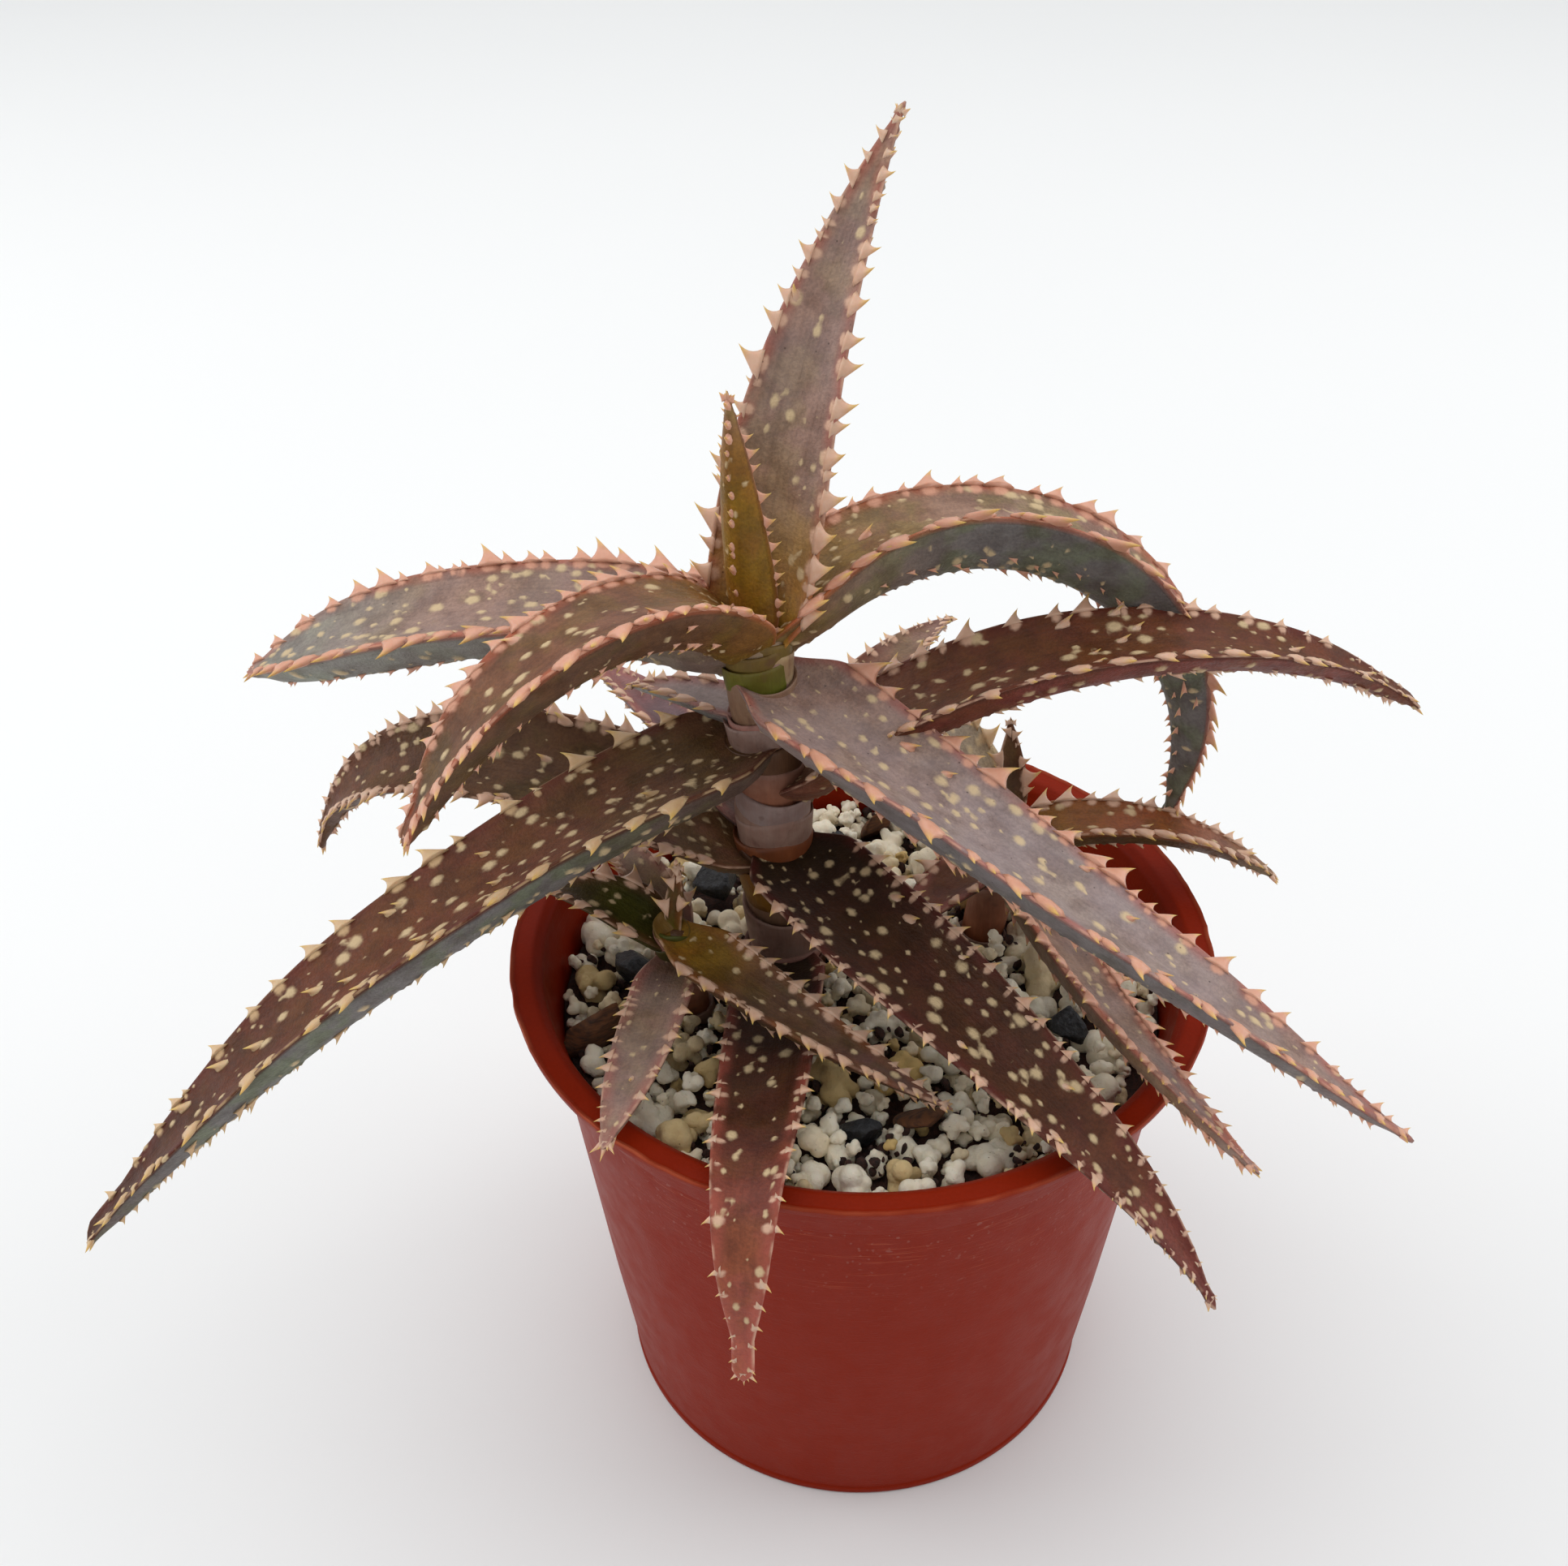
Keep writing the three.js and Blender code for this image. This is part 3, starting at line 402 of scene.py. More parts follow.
def clasping_leaf_base():
    """Fleshy leaf bases, grown round the stem and ageing: smooth, satin, flushed and stained."""
    material, tree, shader, where, base = new_material(
        "leaf_base_fleshy", {"Roughness": 0.5, "Specular IOR Level": 0.36}, [("skin", "Color")])
    cloud = pattern(tree, where, 2.857, 0.35, 0.68)
    base = cover(tree, base, cloud, 0.5, TONES["sheath"], "MULTIPLY")
    # Fibres run up the stem, half a millimetre apart
    fibres = pattern(tree, where, (0.5556, 0.5556, 5), 0.35, 0.7)
    base = cover(tree, base, fibres, 0.22, TONES["fibre"], "MULTIPLY")
    stains = pattern(tree, where, 2, 0.56, 0.72)
    base = cover(tree, base, stains, 0.45, colours().sheath_dark)
    finish_material(tree, shader, {"Base Color": base}, [(fibres, 0.05, 0.6)])
    return material


def blown_pumice():
    """Pumice and perlite, blown by heat: chalky, pitted with pores, some pores darkened in patches."""
    uniform = {"Roughness": 0.92, "Subsurface Weight": 0.08, "Subsurface Scale": 0.6 * MM}
    material, tree, shader, where, tone = new_material(
        "pumice_blown", uniform, [("skin", "Color")])
    base = cover(tree, tone, pattern(tree, where, 1.4286, 0.35, 0.72), 0.3, TONES["ash"], "MULTIPLY")
    # Real pores are mostly finer than a tenth of a millimetre; these are 0.2 mm, to show
    cells = add_node(tree, "ShaderNodeTexVoronoi", {}, {"Vector": where, "Scale": 1 / 0.6667})
    pores = add_node(tree, *SOFT_STEP, levels(cells, 0.05, 0.17, 1.0, 0.0))
    # Pores are darkened in patches of 2 mm
    base = cover(tree, base, pores, pattern(tree, where, 2, 0.54, 0.66), linear(PORE_DARKENING))
    pits = add_node(tree, *PRODUCT, {0: pores, 1: -1.0})
    crust = clouds(tree, where, 0.625, 4.0, 0.65)
    finish_material(tree, shader, {"Base Color": base}, [(crust, 0.25, 0.7), (pits, 0.12, 0.6)])
    return material


def grained_material(name, size, crispness, edges, light, shade, sheen, relief):
    """Matt stuff of one colour, with a shaded grain that also stands out from the surface; on charcoal
    the grain's second colour is a painted glint.
    """
    material, tree, shader, where = new_material(name, {"Roughness": sheen})
    grain = clouds(tree, where, size, 4.0, crispness)
    share = add_node(tree, *SOFT_STEP, levels(grain, *edges))
    base = cover(tree, light, share, 1.0, linear(shade))
    finish_material(tree, shader, {"Base Color": base}, [(grain, *relief)])
    return material


def burnt_charcoal():
    """Charcoal, fired wood: black, with a painted glint in grey patches of its grain for the shine of
    its fracture faces.
    """
    return grained_material("charcoal_burnt", 0.7143, 0.6, (0.45, 0.75), colours().charcoal,
                            CHARCOAL_PAINTED_GLINT, 0.46, (0.5, 0.8))


def split_bark():
    """Pine bark, split and composted: layers of 0.4 mm, fibrous and matt."""
    return grained_material("pine_bark_split", (1.6667, 1.6667, 0.3846), 0.6, (0.35, 0.7),
                            colours().bark, BARK_SHADE, 0.85, (0.4, 0.8))


def crumbled_fines():
    """Peat and bark dust, crumbled between the grains: dark red-brown and matt."""
    return grained_material("mix_fines_crumbled", 0.8333, 0.7, (0.35, 0.7), colours().fines,
                            FINES_SHADE, 0.9, (0.5, 0.9))


def moulded_polypropylene():
    """Polypropylene, injection moulded and handled: satin, faintly streaked, scuffed at the lip, with a
    painted highlight along the lip's outer edge.
    """
    palette = colours()
    material, tree, shader, where, band, lip = new_material(
        "polypropylene_moulded", {"IOR": 1.49, "Specular IOR Level": 0.07},
        [("scuff", "Fac"), ("lip", "Fac")])
    # Flow streaks down the wall, 3 mm wide, and the fine grain of the mould
    streaks = pattern(tree, where, (2.857, 2.857, 33.33), 0.3, 0.7)
    base = cover(tree, palette.plastic, streaks, 0.15, TONES["streak"], "MULTIPLY")
    grain = pattern(tree, where, 0.4545, 0.3, 0.7, 2.0)
    base = cover(tree, base, grain, 0.14, TONES["moulding"], "MULTIPLY")
    # Scuffs lie level, in the band where pots rub as they are stacked
    scratch = pattern(tree, where, (6.25, 6.25, 0.2), 0.6, 0.72, 2.0, (0.0, 0.6))
    base = cover(tree, base, band, scratch, palette.plastic_scuff_and_highlight)
    dots = pattern(tree, where, 0.7692, 0.66, 0.74, 1.0, (0.0, 0.16))
    base = cover(tree, base, band, dots, linear(SCUFF_DUST))
    # Painted highlight: a bright line along the outer edge of the lip, in the scuffed plastic's colour
    base = cover(tree, base, lip, 0.8, palette.plastic_scuff_and_highlight)
    rough = pattern(tree, where, 4, 0.2, 0.8, 3.0, (0.36, 0.5))
    finish_material(tree, shader, {"Base Color": base, "Roughness": rough},
                    [(grain, 0.02, 0.5), (scratch, 0.05, 0.5)])
    return material


def matt_paper():
    """Seamless studio paper: matt and even, with hardly any grain."""
    material, tree, shader, where = new_material("studio_paper_matt", {"Roughness": 0.9})
    cloud = pattern(tree, where, 250, 0.3, 0.7)
    base = cover(tree, colours().floor, cloud, 0.04, TONES["paper"], "MULTIPLY")
    finish_material(tree, shader, {"Base Color": base})
    return material


# Mesh building

class Skin:
    """Points, faces and point values of one piece, gathered in millimetres."""

    def __init__(self):
        self.points, self.values, self.faces, self.count = [], [], [], 0

    def add(self, points, faces, material=0, **values):
        """faces is a list of index arrays, each with one row for a face."""
        points = np.asarray(points, float).reshape(-1, 3)
        self.points.append(points)
        self.values.append({key: np.broadcast_to(value, (len(points),) + np.shape(value)[1:]
                                                 if np.ndim(value) > 1 else (len(points),))
                            for key, value in values.items()})
        for block in faces:
            self.faces.append((np.asarray(block, int) + self.count, material))
        self.count += len(points)

    def make(self, name, materials):
        mesh = bpy.data.meshes.new(name)
        points = np.concatenate(self.points) * MM
        corners = np.concatenate([block.ravel() for block, _ in self.faces])
        lengths = np.concatenate([np.full(len(block), block.shape[1]) for block, _ in self.faces])
        slots = np.concatenate([np.full(len(block), slot) for block, slot in self.faces])
        mesh.vertices.add(len(points))
        mesh.vertices.foreach_set("co", points.ravel())
        mesh.loops.add(len(corners))
        mesh.loops.foreach_set("vertex_index", corners)
        mesh.polygons.add(len(lengths))
        mesh.polygons.foreach_set("loop_start", np.cumsum(lengths) - lengths)
        mesh.polygons.foreach_set("material_index", slots)
        mesh.update(calc_edges=True)
        mesh.validate()
        mesh.shade_smooth()
        for key in sorted({key for part in self.values for key in part}):
            self.store(mesh, key)
        for material in materials:
            mesh.materials.append(material)
        piece = bpy.data.objects.new(name, mesh)
        bpy.context.scene.collection.objects.link(piece)
        return piece

    def store(self, mesh, key):
        kinds = {0: ("FLOAT", "value"), 3: ("FLOAT_VECTOR", "vector"), 4: ("FLOAT_COLOR", "color")}
        found = next(part[key] for part in self.values if key in part)
        width = found.shape[1] if found.ndim > 1 else 0
        blank = np.zeros((1, width)) if width else np.zeros(1)
        data = np.concatenate([
            part[key] if key in part else np.repeat(blank, len(points), 0)
            for part, points in zip(self.values, self.points)])
        kind, field = kinds[width]
        layer = mesh.attributes.new(key, kind, "POINT")
        layer.data.foreach_set(field, np.ascontiguousarray(data, np.float32).ravel())


def place(piece, nodes):
    """Every piece rides on the one body and stands for its solids."""
    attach(piece, BODY)
    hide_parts(*nodes)


def grid_faces(rows, columns, closed=True):
    """Quads of a grid of points whose columns run round, if closed."""
    row, column = np.meshgrid(np.arange(rows - 1), np.arange(columns if closed else columns - 1),
                              indexing="ij")
    right = (column + 1) % columns
    return np.stack([row * columns + column, row * columns + right,
                     (row + 1) * columns + right, (row + 1) * columns + column], -1).reshape(-1, 4)


def unit(vectors):
    return vectors / np.maximum(np.linalg.norm(vectors, axis=-1, keepdims=True), 1e-9)


def smooth(value, low, high):
    t = np.clip((value - low) / (high - low), 0, 1)
    return t * t * (3 - 2 * t)


# Leaves

def stem_point(stem, z):
    bottom, top = np.array(stem["bottom"], float), np.array(stem["top"], float)
    return bottom + (top - bottom) * (z - bottom[2]) / (top[2] - bottom[2])


def leaf_axes(leaf, s):
    """Directions along, across and up at the shares s of a leaf's length."""
    azimuth = (leaf["azimuth"] + leaf["turn"] * s) * DEGREE
    bend = leaf["bend"]
    bent = smooth(s, *bend) if isinstance(bend, tuple) else s ** bend
    slope = (leaf["rise"] + (leaf["droop"] - leaf["rise"]) * bent) * DEGREE
    along = np.stack([np.cos(slope) * np.cos(azimuth), np.cos(slope) * np.sin(azimuth),
                      np.sin(slope)], -1)
    level = np.stack([-np.sin(azimuth), np.cos(azimuth), 0 * azimuth], -1)
    roll = (leaf["roll"] * DEGREE * np.minimum(1, s / ROLL_SHARE))[..., None]
    across = level * np.cos(roll) + np.cross(along, level) * np.sin(roll)
    return along, across, np.cross(along, across)


def tip_bluntness(leaf):
    """Leaves that narrow evenly end in a fine point, the others in a round nose."""
    return 0.4 + 0.9 * smooth(np.array(leaf["taper"]), 1.75, 2.6)


def leaf_stations(leaf, s):
    """Points of a leaf's line, its axes, half width and depth at the shares s."""
    middles = (np.arange(LINE_STEPS) + 0.5) / LINE_STEPS
    steps = leaf_axes(leaf, middles)[0] * leaf["length"] / LINE_STEPS
    foot = stem_point(STEMS[leaf["stem"]], leaf["z"])
    line = foot + np.vstack([np.zeros(3), np.cumsum(steps, 0)])
    at = np.arange(LINE_STEPS + 1) / LINE_STEPS
    point = np.stack([np.interp(s, at, line[:, i]) for i in range(3)], -1)
    swell = FOOT_WIDTH + (1 - FOOT_WIDTH) * np.sin(np.clip(s / FOOT_SWELL, 0, 1) * np.pi / 2)
    narrow = 1 - np.clip((s - FOOT_SWELL) / (1 - FOOT_SWELL), 0, 1) ** leaf["taper"]
    share = np.where(s < FOOT_SWELL, swell, narrow)
    clasp = FOOT_CLASP + (1 - FOOT_CLASP) * smooth(s * leaf["length"], 0, CLASP_LENGTH)
    nose = NOSE_WIDTH * leaf["width"] * tip_bluntness(leaf)
    nose = nose * np.sqrt(np.clip((1 - s) * leaf["length"] / NOSE_LENGTH, 0.02, 1))
    half = np.maximum(nose, leaf["width"] / 2 * share * clasp)
    full = np.minimum(1, 0.25 + 0.75 * share) * np.minimum(1, (1 - s) / THIN_END) ** 0.5
    depth = np.maximum(EDGE_THICKNESS + 0.1, leaf["thick"] * full)
    return point, *leaf_axes(leaf, s), half, depth


def half_width(leaf, u):
    """Half a leaf's width at the distances u along it."""
    return leaf_stations(leaf, np.clip(np.asarray(u) / leaf["length"], 0, 1))[4]


def face_height(leaf, half, depth, k, side):
    """Height over the leaf's line at k, from -1 to 1 across; side is 1 above and -1 below."""
    thick = (depth - EDGE_THICKNESS) * (1 - np.abs(k) ** FACE_CURVE) + EDGE_THICKNESS
    rounded = np.clip((np.abs(k) * half - half + EDGE_ROUNDING) / EDGE_ROUNDING, 0, 1)
    return leaf["channel"] * half * k * k - thick / 2 + side * thick / 2 * np.sqrt(1 - rounded ** 2)


def scatter_spots(leaf, rng, lower):
    """Spots in loose bands across the leaf: distance along, distance across, half sizes."""
    longest = in_mm(sizes().spot_length) / 2
    spots = []
    u = 1.5
    while u < leaf["length"] - 2:
        half = half_width(leaf, [u])[0] * SPOT_REACH
        young = smooth(u / leaf["length"], 0.45, 0.0)
        crowd = leaf["spots"] * (1.1 if lower else 1.0) * (1 + 0.6 * young)
        limit = (0.8 if lower else 1.0) * (1 - 0.3 * young) * min(1, 0.45 + half / 10)
        for _ in range(rng.poisson(SPOT_CROWD * half * crowd)):
            size = longest * limit * (0.26 + 0.7 * rng.random() ** 1.4)
            spots.append((u + rng.normal(0, 1.1), rng.uniform(-half, half),
                          size, size * rng.uniform(0.5, 0.85)))
        u += rng.uniform(*SPOT_BANDS)
    kept = []
    for spot in spots:
        gaps = [((spot[0] - other[0]) / (spot[2] + other[2])) ** 2
                + ((spot[1] - other[1]) / (spot[3] + other[3])) ** 2 for other in kept]
        if min(gaps, default=9) > SPOT_CLEARANCE:
            kept.append(spot)
    return np.array(kept).reshape(-1, 4)


def spot_field(u, v, spots):
    """1 in the middle of a spot, 0 at its rim and below 0 outside."""
    field = np.full(u.shape, -1.0)
    for along, across, a, b in spots:
        near = np.abs(u - along) < 2 * a
        reach = 1 - np.sqrt(((u[near] - along) / a) ** 2 + ((v[near] - across) / b) ** 2)
        field[near] = np.maximum(field[near], reach)
    return field


def skin_colour(leaf, s, side):
    """Skin from foot to tip; below, it turns to the colour of the underside."""
    foot, middle, tip, under = (pigment(name) for name in leaf["skin"].split()[1:])
    s, side = s[..., None], side[..., None]
    upper = foot + (middle - foot) * smooth(s, 0.02, 0.42)
    upper = upper + (tip - upper) * smooth(s, 0.5, 1.0)
    lower = upper + (under - upper) * (0.35 + 0.65 * smooth(s, 0.05, 0.35))
    lower = lower + (tip - lower) * 0.5 * smooth(s, 0.75, 1.0)
    return np.where(side > 0, upper, lower)


SPINE_RINGS = 7
SPINE_SIDES = 8


def add_spines(skin, root, along, out, thin, height, base, thick, lean, horn):
    """Curved spines: broad at the foot, with hollow flanks, drawn out to a hooked yellow point."""
    count = len(root)
    if not count:
        return
    share = np.arange(SPINE_RINGS) / SPINE_RINGS
    t = share[None, :, None, None]
    angle = (np.arange(SPINE_SIDES) * 2 * np.pi / SPINE_SIDES)[None, None, :, None]
    tall, wide, deep, hook = (np.broadcast_to(v, count)[:, None, None, None]
                              for v in (height, base, thick, lean))
    along, out, thin = (v[:, None, None] for v in (along, out, thin))
    ring = (root[:, None, None] + out * tall * t + along * hook * tall * t ** 2
            + along * wide / 2 * (0.55 * (1 - t) ** 2.4 + 0.45 * (1 - t)) * np.cos(angle)
            + thin * deep / 2 * (1 - t) ** 0.8 * np.sin(angle))
    tips = root[:, None, None] + out * tall + along * hook * tall
    points = np.concatenate([ring.reshape(count, -1, 3), tips.reshape(count, 1, 3)], 1)
    each = SPINE_RINGS * SPINE_SIDES + 1
    start = (np.arange(count) * each)[:, None, None]
    sides = start + grid_faces(SPINE_RINGS, SPINE_SIDES)[None]
    last = (SPINE_RINGS - 1) * SPINE_SIDES + np.arange(SPINE_SIDES)
    fan = np.stack([last, np.roll(last, -1), np.full(SPINE_SIDES, each - 1)], -1)
    floor = np.arange(SPINE_SIDES)[::-1][None, None]
    ripe = smooth(np.append(np.repeat(share, SPINE_SIDES), 1.0), 0.4, 1.0)[:, None]
    tint = horn + (np.array(colours().tooth_tip) - horn) * ripe
    skin.add(points.reshape(-1, 3),
             [sides.reshape(-1, 4), (start + fan[None]).reshape(-1, 3),
              (start + floor).reshape(-1, SPINE_SIDES)],
             1, skin=np.tile(tint, (count, 1)))


def spines_at(leaf, skin, u, k, side, rng, height, lift):
    """Spines that stand on the leaf's faces at distances u and places k."""
    point, along, across, up, half, depth = leaf_stations(leaf, np.clip(u / leaf["length"], 0, 1))
    level = face_height(leaf, half, depth, k, side)
    root = point + across * (k * half)[:, None] + up * (level - side * 0.15)[:, None]
    out = unit(up * side + across * (0.45 * k)[:, None] + along * lift)
    tall = height * rng.uniform(0.6, 1.15, len(u)) + 0.15
    add_spines(skin, root, along, out, across, tall, tall * 1.6, tall * 0.8, 0.45,
               pigment(leaf["horn"]))


def tooth_rows(leaf, rng):
    """Teeth of both margins: share of the length, side, size and tilt."""
    roots = []
    for side in (-1, 1):
        u = leaf["width"] * 0.35 + 2.0 + 2 * rng.random()
        while u < leaf["length"] * 0.985:
            s = u / leaf["length"]
            share = half_width(leaf, [u])[0] * 2 / leaf["width"]
            scale = (1 - 0.15 * s) * min(1, 0.26 + share) * leaf["bite"] * rng.uniform(*TOOTH_SIZES)
            small = rng.random() < SMALL_TEETH
            roots.append((s, side, scale * (0.5 if small else 1), rng.uniform(-0.2, 0.35)))
            gap = (0.4 + 0.6 * scale) * rng.uniform(*TOOTH_GAPS) * (0.6 if small else 1)
            u += in_mm(sizes().tooth_pitch) * leaf["apart"] * gap
    return np.array(roots)


def margin_teeth(leaf, skin, rows):
    """A row of hooked teeth along each margin and a crown of them at the tip."""
    size = sizes()
    horn = pigment(leaf["horn"])
    s, side, scale, tilt = rows.T
    point, along, across, up, half, _ = leaf_stations(leaf, s)
    root = (point + across * (side * (half - TOOTH_INSET))[:, None]
            + up * (leaf["channel"] * half - EDGE_THICKNESS / 2)[:, None])
    out = unit(across * side[:, None] + up * (leaf["channel"] + tilt)[:, None] + along * 0.1)
    height = in_mm(size.tooth_height) * scale + 0.55
    add_spines(skin, root, along, out, unit(np.cross(along, out)), height,
               in_mm(size.tooth_base) * scale ** 0.8, 1.25 * scale ** 0.5, 0.42, horn)
    tip = np.full(len(TIP_SPINE_FAN), TIP_SPINE_PLACE)
    point, along, across, up = leaf_stations(leaf, tip)[:4]
    fan = TIP_SPINE_FAN[:, None]
    out = unit(along + across * 0.8 * fan + up * (TIP_SPINE_LIFT - 0.15)[:, None])
    tall = TIP_SPINE_HEIGHT * min(1, 0.4 + leaf["width"] / 14) * tip_bluntness(leaf) ** 0.6
    root = point - along * 0.7 + across * 0.3 * fan - up * 0.35
    add_spines(skin, root, unit(np.cross(up, out)), out, up, tall, 1.1, 0.8, 0.0, horn)


def leaf_section(leaf):
    """Places across a leaf, from -1 to 1, once over its upper face and back along its lower one."""
    step = in_mm(sizes().mesh_step)
    wide = max(14, round(leaf["width"] / (0.9 * step)))
    even = np.linspace(-1, 1, wide + 1)
    over = 0.5 * even - 0.5 * np.cos(np.pi * (even + 1) / 2)
    k = np.concatenate([over, over[::-1][1:-1]])
    return k, np.concatenate([np.ones(wide + 1), -np.ones(wide - 1)])


def tooth_blots(leaf, rows, rng):
    """Pale blots under the teeth, which run on to the face: as spots, along, across, half sizes."""
    at, flank, scale, _ = rows.T
    half = leaf_stations(leaf, at)[4]
    across = flank * (half - np.minimum(0.9, 0.25 * half))
    return np.stack([at * leaf["length"] + 0.2, across, 1.35 * scale ** 0.8,
                     np.minimum(0.28 * half, rng.uniform(0.5, 1.0, len(at)))], -1)


def leaf_prickles(leaf, skin, fields, rng):
    """Prickles on some spots of both faces and low teeth along the keel."""
    tall = in_mm(sizes().prickle_height)
    for side, share in ((1, 0.1), (-1, 0.16)):
        spots = fields[side]
        edge = np.abs(spots[:, 1]) / half_width(leaf, spots[:, 0])
        chosen = spots[(rng.random(len(spots)) < share * leaf["spines"] * (0.5 + edge))
                       & (spots[:, 0] > 0.15 * leaf["length"]) & (spots[:, 0] < 0.95 * leaf["length"])]
        place_across = chosen[:, 1] / half_width(leaf, chosen[:, 0])
        spines_at(leaf, skin, chosen[:, 0], place_across, side, rng, tall, 0.8)
    for line in KEEL_LINES if leaf["spines"] > 0.3 else (0.0,):
        keel = np.arange(0.18 * leaf["length"], 0.96 * leaf["length"],
                         in_mm(sizes().keel_pitch) * (1.0 if line == 0 else 1.7))
        keel = keel + rng.uniform(-0.6, 0.6, len(keel))
        spines_at(leaf, skin, keel, line + rng.uniform(-0.1, 0.1, len(keel)), -1, rng,
                  tall * (0.75 if line == 0 else 0.6), 0.5)


def make_leaf(leaf, order, materials):
    rng = np.random.default_rng(sizes().seed * 100 + order)
    rows = max(24, round(leaf["length"] / in_mm(sizes().mesh_step))) + 1
    k, side = leaf_section(leaf)
    columns = len(k)
    s = np.linspace(0, 1, rows)
    point, _, across, up, half, depth = leaf_stations(leaf, s)
    height = face_height(leaf, half[:, None], depth[:, None], k[None], side[None])
    reach = k[None] * half[:, None]
    sway = EDGE_WAVE * np.sin(s * leaf["length"] / EDGE_WAVE_LENGTH + rng.uniform(0, 6))
    height = height + (sway * smooth(s, 0.1, 0.3))[:, None] * np.abs(k[None]) ** 3
    grid = point[:, None] + across[:, None] * reach[..., None] + up[:, None] * height[..., None]
    normal = unit(np.cross(np.roll(grid, -1, 1) - np.roll(grid, 1, 1), np.gradient(grid, axis=0)))
    outward = np.sign((normal * (grid - grid.mean(1, keepdims=True))).sum(-1).mean())
    u, sides, shares = (np.broadcast_to(value, reach.shape)
                        for value in ((s * leaf["length"])[:, None], side[None], s[:, None]))
    teeth = tooth_rows(leaf, rng)
    fields = {face: scatter_spots(leaf, rng, face < 0) for face in (1, -1)}
    spot = np.where(sides > 0, spot_field(u, reach, fields[1]), spot_field(u, reach, fields[-1]))
    blot = spot_field(u, reach, tooth_blots(leaf, teeth, rng)) - 0.8 * (sides < 0)
    swell = np.maximum(smooth(spot, 0.0, 0.7), smooth(blot, 0.0, 0.7))
    relief = in_mm(sizes().spot_relief) * np.where(sides > 0, 1.0, 1.7) * swell
    grid = grid + outward * normal * relief[..., None]
    margin = np.clip(1 - (1 - np.abs(k[None])) * half[:, None] / MARGIN_BAND, 0, 1)
    margin = margin * np.where(sides > 0, 1, 0.4)
    around = grid_faces(rows, columns)
    foot, tip = np.arange(columns)[None], (rows - 1) * columns + np.arange(columns)[None]
    faces = [around[:, ::-1], foot, tip[:, ::-1]] if outward < 0 else [around, foot[:, ::-1], tip]
    whole = (rows * columns, 1)
    skin = Skin()
    skin.add(grid, faces, 0,
             skin=skin_colour(leaf, shares, sides).reshape(-1, 4), spot=spot.ravel(),
             blot=blot.ravel(), flush=np.tile(pigment(leaf["flush"]), whole),
             horn=np.tile(pigment(leaf["horn"]), whole),
             margin=margin.ravel(), bloom=np.full(rows * columns, float(leaf["bloom"])),
             leaf_mm=np.stack([u, reach, FACE_APART * sides], -1).reshape(-1, 3))
    margin_teeth(leaf, skin, teeth)
    leaf_prickles(leaf, skin, fields, rng)
    piece = skin.make("skin_" + leaf["name"], materials)
    place(piece, [leaf["name"]])


# Stems

def stem_radius(stem, z):
    t = (z - stem["bottom"][2]) / (stem["top"][2] - stem["bottom"][2])
    return stem["radius"] + (stem["top_radius"] - stem["radius"]) * np.maximum(0, t) ** 1.6


SHEATH_TINTS = ("mauve", "rust", "rose", "mauve", "taupe")
# Profile of a clasping leaf base, from its foot to its rolled lip
SHEATH_RISE = np.array([0, 0.25, 0.5, 0.75, 0.92, 0.99, 1.0, 0.97, 0.9])
SHEATH_GIRTH = np.array([0.9, 0.95, 0.99, 1.02, 1.04, 1.03, 0.99, 0.9, 0.74])
SHEATH_OVERLAP = 1.4


def make_stem(name, stem, materials, rng):
    """Leaf bases clasp a solid core as cups, each standing in the one below."""
    columns = 64
    angle = np.arange(columns) * 2 * np.pi / columns
    ring = np.stack([np.cos(angle), np.sin(angle), 0 * angle], -1)
    skin = Skin()
    low, high = stem["bottom"][2], stem["top"][2]

    def cup(heights, radii, lift, tints, jitter):
        shares = np.linspace(0, 1, len(heights))
        grid = np.array([
            stem_point(stem, z) + ring * (radius * (1 + jitter * share))[:, None]
            + np.stack([0 * lift, 0 * lift, lift * share], -1)
            for z, radius, share in zip(heights, radii, shares)])
        tint = tints[0] + (tints[1] - tints[0]) * shares[:, None]
        skin.add(grid, [grid_faces(len(grid), columns), np.arange(columns)[None, ::-1],
                        ((len(grid) - 1) * columns + np.arange(columns))[None]], 0,
                 skin=np.repeat(tint, columns, 0))

    core = np.linspace(low, high - 0.5, 12)
    still = 0 * angle
    cup(core, 0.84 * stem_radius(stem, core), still, (pigment("umber"), pigment("umber")), still)
    pitch = (high - low - 2) / stem["sheaths"]
    cups = [(low + i * pitch - 0.5, low + (i + 1) * pitch + SHEATH_OVERLAP,
             rng.uniform(0, 2 * np.pi), 1.0, 0.02,
             pigment(SHEATH_TINTS[i % len(SHEATH_TINTS)]), pigment("mauve"))
            for i in range(stem["sheaths"])]
    for leaf in LEAVES:
        if leaf["stem"] == name:
            sheath, foot = leaf["skin"].split()[:2]
            cups.append((leaf["z"] - 6.5, leaf["z"] + 0.8, leaf["azimuth"] * DEGREE + np.pi, 1.05,
                         -0.14, pigment(sheath), 0.5 * (pigment(sheath) + pigment(foot))))
    for start, end, turn, girth, flare, tint, lip in cups:
        radius = stem_radius(stem, (start + end) / 2) * girth
        lift = 1.3 * np.cos(angle - turn) + 0.2 * np.sin(3 * angle + turn)
        jitter = flare * np.cos(angle - turn) + rng.normal(0, 0.003, columns)
        heights = start + (end - start) * SHEATH_RISE
        cup(heights, SHEATH_GIRTH * radius, lift, (tint, lip), jitter)
    piece = skin.make("sheaths_" + stem["node"], materials)
    place(piece, [stem["node"]])


# Grit

def sphere_points(subdivisions):
    ball = bmesh.new()
    bmesh.ops.create_icosphere(ball, subdivisions=subdivisions, radius=1)
    points = np.array([v.co[:] for v in ball.verts])
    faces = np.array([[v.index for v in face.verts] for face in ball.faces])
    ball.free()
    return points, faces


